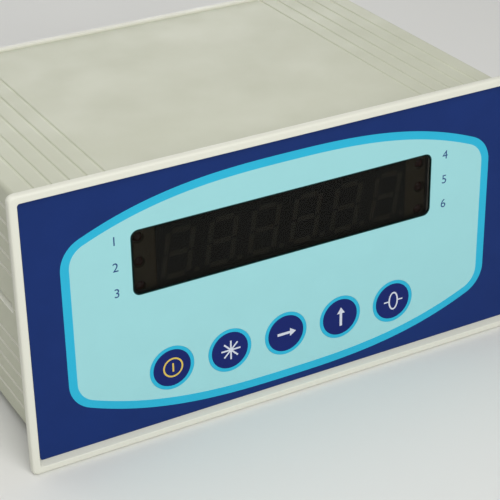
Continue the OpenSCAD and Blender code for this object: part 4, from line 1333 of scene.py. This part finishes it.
@dataclass
class DisplayUnit:
    """The light bars of the figures, which show through the window."""

    figure_h: float = 14.2 * MM
    bar_w: float = 1.5 * MM
    bar_gap: float = 0.3 * MM
    half_w: float = 3.6 * MM
    lean: float = 0.16
    inlay_gap: float = 0.03 * MM
    inlay_t: float = 0.25 * MM
    recess: float = 0.3 * MM

    def figure(self) -> list[Outline]:
        """Draws the seven bars and the point, round the middle of a module.

        Returns:
            Their outlines.
        """
        half_h = (self.figure_h - self.bar_w) / 2
        bar_len = 2 * self.half_w - self.bar_w - 2 * self.bar_gap
        gap = 2 * self.inlay_gap
        bars = [rectangle(bar_len - gap, self.bar_w - gap, (0.0, z * half_h)) for z in (-1, 0, 1)]
        upright = half_h - 2 * self.bar_gap
        for x in (-1, 1):
            for z in (-0.5, 0.5):
                bars.append(rectangle(self.bar_w - gap, upright - gap, (x * self.half_w, z * half_h)))
        leaning = [[(x + self.lean * z, z) for x, z in bar] for bar in bars]
        point = circle(self.bar_w / 2 - self.inlay_gap, count=20, centre=(self.half_w + self.bar_w, -half_h))
        return [*leaning, point]

    def build(self) -> None:
        """Lays the light bars into the digit modules."""
        low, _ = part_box("digit_module_1")
        first = centre_of("digit_module_1")
        pitch = centre_of("digit_module_2").x - first.x
        sheet = PrintedSheet("digit_figure", self.recess - self.inlay_t, self.recess, (DIGIT_BAR,))
        for outline in self.figure():
            sheet.add(outline, DIGIT_BAR)
        grid = Grid(Vector((first.x, low.y, first.z)), DIGITS, Vector((pitch, 0.0, 0.0)))
        bars = grid.mesh("digit_bars", sheet.mesh(), DIGIT_BAR)
        show("digit_bars", bars, body_of("digit_module_1"), Slot.DIGIT)


def finish_node(node: str, finish: Finish) -> None:
    """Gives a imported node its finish.

    Args:
        node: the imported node.
        finish: its finish.
    """
    materials = frame["nodes"][node].data.materials
    materials.clear()
    materials.append(finish.build())


def paint(node: str, finish: Finish, chosen: Callable[[Vector, Vector], bool]) -> None:
    """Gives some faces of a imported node, or of its softened copy, another finish.

    Args:
        node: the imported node.
        finish: the finish of the chosen faces.
        chosen: takes a face's middle and its normal, and says whether it is painted.
    """
    mesh = (bpy.data.objects.get(node + "_softened") or frame["nodes"][node]).data
    number = len(mesh.materials)
    mesh.materials.append(finish.build())
    for face in mesh.polygons:
        if chosen(face.center, face.normal):
            face.material_index = number


@dataclass
class ShellTints:
    """Painted light in the clamp slots and the grooves of the shells: paler finishes that stand in for the
    light their floors and lips catch.

    The limits low, top and outer are measured when the painted light is built.
    """

    slot_d: float = 2.75 * MM
    slot_half: float = 1.65 * MM
    groove_d: float = 0.45 * MM
    skin: float = 0.05 * MM
    corner: float = 3.5 * MM
    facing: float = 0.5
    low: float = 0.0
    top: float = 0.0
    outer: float = 0.0

    def build(self) -> None:
        """Paints light into the slots and grooves of both shells."""
        lower_low, lower_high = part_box("lower_shell")
        self.low = lower_low.z
        self.outer = lower_high.x
        self.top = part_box("upper_shell")[1].z
        for node in ("upper_shell", "lower_shell"):
            # Painted light: the slot floors and walls, the side grooves in the bezel's paler finish, and the
            # top and bottom grooves.
            paint(node, SLOT_PAINTED_LIGHT, self.in_slot)
            paint(node, BEZEL, self.in_side_groove)
            paint(node, GROOVE_PAINTED_LIGHT, self.in_flat_groove)

    def in_slot(self, place: Vector, normal: Vector) -> bool:
        """Says whether a face is the floor or the wall of a clamp slot.

        Args:
            place: the face's middle.
            normal: its normal.

        Returns:
            True where the face is painted.
        """
        from_side = self.outer - abs(place.x)
        from_middle = abs(place.z - (self.low + self.top) / 2)
        within = self.skin < from_side < self.slot_d and from_middle < self.slot_half
        return within and normal.z > -self.facing and abs(normal.y) < self.facing

    def in_side_groove(self, place: Vector, normal: Vector) -> bool:
        """Says whether a face lies in a groove on the left or right, outside the slots.

        Args:
            place: the face's middle.
            normal: its normal.

        Returns:
            True where the face is painted.
        """
        within = self.skin < self.outer - abs(place.x) < self.groove_d
        between = self.low + self.corner < place.z < self.top - self.corner
        return within and between and abs(normal.y) < self.facing and not self.in_slot(place, normal)

    def in_flat_groove(self, place: Vector, normal: Vector) -> bool:
        """Says whether a face lies in a groove on the top or on the underside.

        Args:
            place: the face's middle.
            normal: its normal.

        Returns:
            True where the face is painted.
        """
        depth = min(self.top - place.z, place.z - self.low)
        within = self.skin < depth < self.groove_d
        return within and abs(place.x) < self.outer - self.corner and abs(normal.y) < self.facing


@dataclass
class Terminal:
    """One pluggable terminal: its plug with the wire clamps, and its header with the pins."""

    name: str
    poles: int
    pitch: float
    edge_r: float = 0.12 * MM
    wire_w_share: float = 0.55
    wire_h: float = 3.0 * MM
    wire_z: float = 3.4 * MM
    clamp_wall: float = 0.3 * MM
    clamp_in: float = 1.6 * MM
    clamp_len: float = 5.4 * MM
    pin: float = 1.0 * MM
    pin_reach_share: float = 0.51
    base: float = 2.6 * MM
    gap: float = 0.01 * MM

    def pole(self, number: int) -> float:
        """The place of a pole along the terminal."""
        return centre_of(self.name + "_plug").x + (number - (self.poles - 1) / 2) * self.pitch

    def clamps(self) -> None:
        """Sets a metal clamp in each wire hole."""
        plug = self.name + "_plug"
        low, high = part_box(plug)
        width = self.pitch * self.wire_w_share
        wall = 2 * self.clamp_wall
        sheet = PrintedSheet(self.name + "_clamp", -self.clamp_in - self.clamp_len, -self.clamp_in, (TIN,))
        sheet.add(rectangle(width, self.wire_h), TIN)
        sheet.add(rectangle(width - wall, self.wire_h - wall), None)
        first = Vector((self.pole(0), high.y, low.z + self.wire_z))
        grid = Grid(first, self.poles, Vector((self.pitch, 0.0, 0.0)))
        name = plug + "_clamps"
        show(name, grid.mesh(name, sheet.mesh(), TIN), body_of(plug), Slot.TIN)

    def pins(self) -> None:
        """Plates the header's pins."""
        header = self.name + "_header"
        low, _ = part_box(header)
        middle_z = centre_of(header).z
        reach = self.pin_reach_share * self.pin

        def on_pin(place: Vector, normal: Vector) -> bool:
            """Says whether a face belongs to a pin."""
            near = any(abs(place.x - self.pole(i)) <= reach for i in range(self.poles))
            return near and abs(place.z - middle_z) <= reach and place.y > low.y + self.base + self.gap

        paint(header, TIN, on_pin)

    def build(self) -> None:
        """Dresses the plug and the header."""
        softened(self.name + "_plug", TERMINAL, Slot.TERMINAL, self.edge_r)
        self.clamps()
        self.pins()


def bent_leg(name: str, width: float, reach: float, rise: float, degrees: float) -> bpy.types.Mesh:
    """A chip's leg: out of the case, down, and flat on the board.

    Args:
        name: the mesh's name.
        width: the leg's width.
        reach: how far it stands out of the case.
        rise: the height at which it leaves the case.
        degrees: the turn about Z, where 0 points to +X.

    Returns:
        The mesh; the case's face is at the origin.
    """
    thick = 0.15 * MM
    line = [(-0.2 * reach, rise), (0.3 * reach, rise), (0.5 * reach, 0.0), (reach, 0.0)]
    shape = bmesh.new()
    rings = []
    for x, z in line:
        corners = [(-1, z), (1, z), (1, z + thick), (-1, z + thick)]
        rings.append([shape.verts.new((x, side * width / 2, height)) for side, height in corners])
    for near, far in zip(rings, rings[1:]):
        for i in range(4):
            k = (i + 1) % 4
            shape.faces.new([near[i], near[k], far[k], far[i]])
    shape.faces.new(rings[0])
    shape.faces.new(list(reversed(rings[-1])))
    bmesh.ops.recalc_face_normals(shape, faces=shape.faces[:])
    bmesh.ops.rotate(shape, matrix=Matrix.Rotation(math.radians(degrees), 3, "Z"), verts=shape.verts[:])
    return mesh_from(name, shape, TIN)


@dataclass
class Chip:
    """One chip on the main board: its middle, its size and the legs on its sides."""

    name: str
    middle: Point
    size: Point
    pitch: float
    along_x: int
    along_y: int
    reach: float = 1.0 * MM
    rise: float = 0.8 * MM
    leg_share: float = 0.4

    def legs(self, board_top: float) -> list[bpy.types.Mesh]:
        """Makes the rows of legs.

        Args:
            board_top: the height of the board's upper face.

        Returns:
            One mesh for each side that has legs.
        """
        made = []
        for turn, count in ((0, self.along_y), (90, self.along_x), (180, self.along_y), (270, self.along_x)):
            if not count:
                continue
            out = Matrix.Rotation(math.radians(turn), 3, "Z") @ Vector((1.0, 0.0, 0.0))
            along = Vector((-out.y, out.x, 0.0)) * self.pitch
            case = Vector((out.x * self.size[0] / 2, out.y * self.size[1] / 2, 0.0))
            middle = Vector((self.middle[0], self.middle[1], board_top))
            first = middle + case - along * (count - 1) / 2
            width = self.leg_share * self.pitch
            leg = bent_leg(f"{self.name}_leg_{turn}", width, self.reach, self.rise, turn)
            made.append(Grid(first, count, along).mesh(f"{self.name}_legs_{turn}", leg, TIN))
        return made


@dataclass
class BoardParts:
    """Solder joints, chip legs and small surface parts on the two boards."""

    dome_r: float = 0.85 * MM
    dome_h: float = 0.9 * MM
    digit_pins: int = 5
    digit_pin_pitch: float = 2.54 * MM
    digit_pin_row: float = 15.24 * MM
    switch_pin_at: float = 2.2 * MM
    resistor: tuple[float, float, float] = (2.0 * MM, 1.2 * MM, 0.55 * MM)
    resistor_jitter: tuple[float, float, float] = (0.15 * MM, 0.12 * MM, 0.0)
    end_len: float = 0.4 * MM
    end_edge: float = 0.05 * MM
    regulator_leg: float = 4.0 * MM
    regulator_tab: float = 6.0 * MM
    bobbin_pin_drop: float = 1.1 * MM
    gap: float = 0.01 * MM
    upright: float = 0.9

    def solder(self) -> None:
        """Sets a solder joint round each pin behind the display board."""
        shares = ((1.0, 0.0), (0.7, 0.35), (0.42, 1.0))
        profile = [(across * self.dome_r, along * self.dome_h) for across, along in shares]
        dome = turned("joint", profile, SOLDER, "Y", count=12)
        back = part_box("display_board")[1].y
        first = centre_of("digit_module_1")
        pitch = centre_of("digit_module_2").x - first.x
        left = first.x - self.digit_pin_pitch * (self.digit_pins - 1) / 2
        digits = Grid(
            Vector((left, back, first.z - self.digit_pin_row / 2)),
            columns=self.digit_pins, column_step=Vector((self.digit_pin_pitch, 0, 0)),
            rows=2, row_step=Vector((0, 0, self.digit_pin_row)),
            blocks=DIGITS, block_step=Vector((pitch, 0, 0)),
        )
        key = centre_of("key_pad_1")
        key_pitch = centre_of("key_pad_2").x - key.x
        switches = Grid(
            Vector((key.x - self.switch_pin_at, back, key.z - self.switch_pin_at)),
            columns=2, column_step=Vector((2 * self.switch_pin_at, 0, 0)),
            rows=2, row_step=Vector((0, 0, 2 * self.switch_pin_at)),
            blocks=KEYS, block_step=Vector((key_pitch, 0, 0)),
        )
        meshes = [digits.mesh("digit_joints", dome, SOLDER), switches.mesh("switch_joints", dome, SOLDER)]
        show("solder_joints", joined("solder_joints", meshes), body_of("display_board"), Slot.TIN)

    def chip_legs(self) -> None:
        """Sets the legs of the four chips."""
        low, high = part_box("main_board")
        front, board_top = low.y, high.z
        can = centre_of("shield_can")
        middle_x = centre_of("voltage_regulator").x
        chips = [
            Chip("processor", (-13 * MM, front + 25 * MM), (14 * MM, 14 * MM), 0.8 * MM, 16, 16),
            Chip("driver", (middle_x, front + 11.75 * MM), (15.4 * MM, 7.5 * MM), 1.27 * MM, 11, 0),
            Chip("converter", (can.x, can.y), (7.5 * MM, 10.3 * MM), 1.27 * MM, 0, 8),
            Chip("memory", (middle_x, front + 20 * MM), (5 * MM, 4 * MM), 1.27 * MM, 4, 0),
        ]
        meshes = [mesh for chip in chips for mesh in chip.legs(board_top)]
        show("chip_legs", joined("chip_legs", meshes), body_of("logic_chips"), Slot.TIN)

    def resistors(self) -> None:
        """Scatters two blocks of small resistors over free places of the main board."""
        board_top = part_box("main_board")[1].z
        length, width, height = self.resistor
        case = small_block("resistor_case", Vector((length - 2 * self.end_len, width, height)), BLACK)
        end = small_block("resistor_end", Vector((self.end_len, width, height)), TIN, self.end_edge)
        centre_z = board_top + height / 2
        meshes = []
        fields = (
            (Vector((-52 * MM, -14.3 * MM, centre_z)), 8, 3.8 * MM, 2, 2.3 * MM, 11),
            (Vector((-2.5 * MM, -9.2 * MM, centre_z)), 4, 3.6 * MM, 3, 2.6 * MM, 12),
        )
        for first, columns, step, rows, row_step, seed in fields:
            for piece, shift in ((case, 0.0), (end, -1.0), (end, 1.0)):
                offset = Vector((shift * (length - self.end_len) / 2, 0.0, 0.0))
                grid = Grid(
                    first + offset, columns, Vector((step, 0.0, 0.0)), rows, Vector((0.0, row_step, 0.0)),
                    jitter=Vector(self.resistor_jitter), seed=seed,
                )
                finish = BLACK if piece is case else TIN
                meshes.append(grid.mesh(f"{piece.name}_{seed}_{shift:.0f}", piece, finish))
        show("resistors", joined("resistors", meshes), body_of("main_board"), Slot.BLACK)

    def plate(self) -> None:
        """Plates pins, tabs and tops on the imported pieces."""
        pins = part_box("display_board")[0].y + self.gap
        for number in range(1, DIGITS + 1):
            paint(f"digit_module_{number}", TIN, lambda place, normal: place.y > pins)
        paint("tact_switches", TIN, lambda place, normal: place.y > pins or normal.y < -self.upright)
        paint("filter_capacitors", CAN_TOP, lambda place, normal: normal.z > self.upright)
        low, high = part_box("voltage_regulator")
        leg_top, tab_bottom = low.z + self.regulator_leg, high.z - self.regulator_tab
        paint("voltage_regulator", TIN, lambda place, normal: not leg_top < place.z < tab_bottom)
        bobbin_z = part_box("transformer_winding")[0].z - self.bobbin_pin_drop
        paint("transformer_bobbin", TIN, lambda place, normal: place.z < bobbin_z)

    def build(self) -> None:
        """Builds the small parts and plates the pins."""
        self.solder()
        self.chip_legs()
        self.resistors()
        self.plate()


@dataclass
class SerialPort:
    """The nine-pole connector: its steel shell, and a black insert with gilt contacts."""

    half_w: float = 8.4 * MM
    half_h: float = 4.1 * MM
    taper: float = 0.75 * MM
    corner_r: float = 1.6 * MM
    shell_wall: float = 0.5 * MM
    proud: float = 0.2 * MM
    contact_r: float = 0.55 * MM
    sleeve: float = 0.16 * MM
    pitch: float = 2.77 * MM
    row_z: float = 1.42 * MM
    edge_r: float = 0.12 * MM

    def mouth(self, inset: float, middle: Point) -> Outline:
        """Draws the mouth, wider at the top, with round corners.

        Args:
            inset: how far inside the mouth's own outline it runs.
            middle: its middle.

        Returns:
            The closed outline.
        """
        corner_r = self.corner_r - inset
        high_x = self.half_w - self.corner_r
        low_x = high_x - self.taper
        mid_z = self.half_h - self.corner_r
        lean = math.atan2(self.taper, 2 * mid_z)
        steps = 8
        corners = [
            (high_x, mid_z, -lean, math.pi / 2),
            (-high_x, mid_z, math.pi / 2, math.pi + lean),
            (-low_x, -mid_z, math.pi + lean, 1.5 * math.pi),
            (low_x, -mid_z, 1.5 * math.pi, 2 * math.pi - lean),
        ]
        outline = []
        for x, z, start, end in corners:
            for step in range(steps + 1):
                angle = start + (end - start) * step / steps
                across = middle[0] + x + corner_r * math.cos(angle)
                outline.append((across, middle[1] + z + corner_r * math.sin(angle)))
        return outline

    def build(self) -> None:
        """Softens the shell and sets the insert into its mouth."""
        node = "serial_port"
        softened(node, TIN, Slot.TIN, self.edge_r)
        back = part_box(node)[1].y
        centre = centre_of(node)
        middle = (centre.x, centre.z)
        sheet = PrintedSheet("serial_insert", back + self.proud, back, (BLACK, GOLD))
        sheet.add(self.mouth(self.shell_wall, middle), BLACK)
        places = [(p * self.pitch, self.row_z) for p in range(-2, 3)]
        places += [((p + 0.5) * self.pitch, -self.row_z) for p in range(-2, 2)]
        for x, z in places:
            at = (middle[0] + x, middle[1] + z)
            sheet.add(circle(self.contact_r + self.sleeve, count=24, centre=at), GOLD)
            sheet.add(circle(self.contact_r, count=24, centre=at), None)
        show("serial_insert", sheet.mesh(), body_of(node), Slot.BLACK)


@dataclass
class FuseLink:
    """The glass link: a tube with two metal caps and the fine wire between them."""

    cap_r: float = 2.6 * MM
    cap_len: float = 5.0 * MM
    glass_wall: float = 0.45 * MM
    glass_r: float = 2.4 * MM
    wire_r: float = 0.12 * MM
    edge: float = 0.35 * MM

    def build(self) -> None:
        """Builds the link in place of the plain one."""
        node = "fuse_link"
        low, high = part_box(node)
        centre = centre_of(node)
        length = high.y - low.y
        inner_r = self.glass_r - self.glass_wall
        cap = [
            (self.cap_r - 2 * self.edge, 0.0),
            (self.cap_r - self.edge / 2, self.edge / 4),
            (self.cap_r, self.edge),
            (self.cap_r, self.cap_len - self.edge / 2),
            (self.cap_r - self.edge / 2, self.cap_len),
            (inner_r, self.cap_len),
        ]
        far_cap = [(radius, length - height) for radius, height in reversed(cap)]
        start, end = self.cap_len - self.edge, length - self.cap_len + self.edge
        tube = [(inner_r, start), (self.glass_r, start), (self.glass_r, end), (inner_r, end)]
        wire = [(self.wire_r, self.cap_len), (self.wire_r, length - self.cap_len)]
        parts = [
            turned("fuse_near_cap", cap, TIN, "Y", count=40),
            turned("fuse_far_cap", far_cap, TIN, "Y", count=40),
            turned("fuse_tube", tube, GLASS, "Y", count=40, tube=True),
            turned("fuse_wire", wire, SOLDER, "Y", count=10),
        ]
        mesh = joined("fuse_link_dressed", parts)
        mesh.transform(Matrix.Translation((centre.x, low.y, centre.z)))
        smooth(mesh)
        show("fuse_link_dressed", mesh, body_of(node), Slot.GLASS, node)


@dataclass
class Casework:
    """The bezel, the shells and the rear cover, with the edges that catch the light rounded."""

    edge_r: float = 0.2 * MM

    def build(self) -> None:
        """Softens the moulded pieces of the housing."""
        for node in ("front_bezel", "rear_cover"):
            softened(node, BEZEL, Slot.HOUSING, self.edge_r)
        for node in ("upper_shell", "lower_shell"):
            softened(node, HOUSING, Slot.HOUSING, self.edge_r)


@dataclass
class Studio:
    """The floor, the light and the camera."""

    lens: float = 117.62
    sensor: float = 36.0
    place: tuple[float, float, float] = (-0.1915, -0.3858, 0.2488)
    forward: tuple[float, float, float] = (0.42199, 0.77417, -0.47178)
    up: tuple[float, float, float] = (0.24076, 0.406, 0.88159)
    floor_size: float = 6.0
    floor_colour: Rgb = (226, 226, 223)
    sky: float = 0.34
    sky_seen: float = 0.9
    sky_mirrored: float = 0.2
    sky_colour: tuple[float, float, float, float] = (1.0, 1.0, 0.98, 1.0)
    target: tuple[float, float, float] = (0.0, 0.0, 0.04)

    def floor(self) -> None:
        """Lays the pale floor, tilted so that the bezel and the rear cover both stand on it."""
        front_low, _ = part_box("front_bezel")
        cover_low, cover_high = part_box("rear_cover")
        slope = math.atan2(cover_low.z - front_low.z, cover_high.y - front_low.y)
        shape = bmesh.new()
        bmesh.ops.create_grid(shape, x_segments=1, y_segments=1, size=self.floor_size / 2)
        turn = Matrix.Rotation(slope, 4, "X")
        move = Matrix.Translation((0.0, front_low.y, front_low.z))
        bmesh.ops.transform(shape, matrix=move @ turn, verts=shape.verts[:])
        finish = Finish("floor_finish", self.floor_colour, roughness=0.7, fineness=400.0, mottle_share=0.005)
        floor = bpy.data.objects.new("floor", mesh_from("floor", shape, finish))
        bpy.context.scene.collection.objects.link(floor)

    def world(self) -> None:
        """Sets a soft sky that lights the object, and that the camera and reflections see as pale."""
        world = bpy.data.worlds.new("studio")
        bpy.context.scene.world = world
        world.use_nodes = True
        world.node_tree.nodes.clear()
        graph = Graph(world.node_tree)
        rays = graph.node("ShaderNodeLightPath").outputs
        seen = graph.math("MAXIMUM", rays["Is Camera Ray"], rays["Is Transmission Ray"])
        strength = graph.ramp(seen, low=0.0, high=1.0, start=self.sky, end=self.sky_seen)
        mirrored = graph.ramp(rays["Is Glossy Ray"], low=0.0, high=1.0, start=0.0, end=self.sky_mirrored)
        light = {"Color": self.sky_colour, "Strength": graph.math("ADD", strength, mirrored)}
        sky = graph.node("ShaderNodeBackground", light)
        graph.node("ShaderNodeOutputWorld", {"Surface": sky.outputs[0]})

    def lamp(self, name: str, place: tuple[float, float, float], size: float, power: float) -> None:
        """Hangs a square soft lamp that faces the object.

        Args:
            name: the lamp's name.
            place: where it hangs.
            size: the length of its side.
            power: its power in watts.
        """
        light = bpy.data.lights.new(name, "AREA")
        light.size = size
        light.energy = power
        lamp = bpy.data.objects.new(name, light)
        lamp.location = place
        lamp.rotation_mode = "QUATERNION"
        lamp.rotation_quaternion = (Vector(self.target) - Vector(place)).to_track_quat("-Z", "Y")
        bpy.context.scene.collection.objects.link(lamp)

    def camera(self) -> None:
        """Sets the camera where the photograph was taken from."""
        data = bpy.data.cameras.new("camera")
        data.lens = self.lens
        data.sensor_width = self.sensor
        data.clip_start = 0.01
        forward, up = Vector(self.forward).normalized(), Vector(self.up).normalized()
        right = forward.cross(up).normalized()
        camera = bpy.data.objects.new("camera", data)
        turn = Matrix((right, right.cross(forward), -forward)).transposed().to_4x4()
        camera.matrix_world = Matrix.Translation(self.place) @ turn
        bpy.context.scene.collection.objects.link(camera)
        bpy.context.scene.camera = camera

    def build(self) -> None:
        """Builds the stage."""
        self.camera()
        self.floor()
        self.world()
        self.lamp("front_lamp", (-0.06, -0.64, 0.46), size=0.5, power=3.6)
        self.lamp("top_lamp", (-0.25, 0.1, 0.9), size=0.7, power=2.2)
        self.lamp("back_lamp", (0.36, 0.8, 0.28), size=0.4, power=0.9)
        bpy.context.scene.view_settings.view_transform = "Standard"


def main() -> None:
    """Builds the stage and dresses the indicator."""
    logging.basicConfig(level=logging.INFO, format="%(message)s")
    Studio().build()
    for node in frame["nodes"]:
        finish_node(node, NODE_FINISHES[node.rstrip("_0123456789")])
    FrontPanel().build()
    DisplayUnit().build()
    Casework().build()
    for name, poles, pitch in (("power", 3, 5.08 * MM), ("cell", 6, 5.08 * MM), ("control", 8, 3.81 * MM)):
        Terminal(name, poles, pitch).build()
    SerialPort().build()
    FuseLink().build()
    BoardParts().build()
    ShellTints().build()


if __name__ == "__main__":
    main()
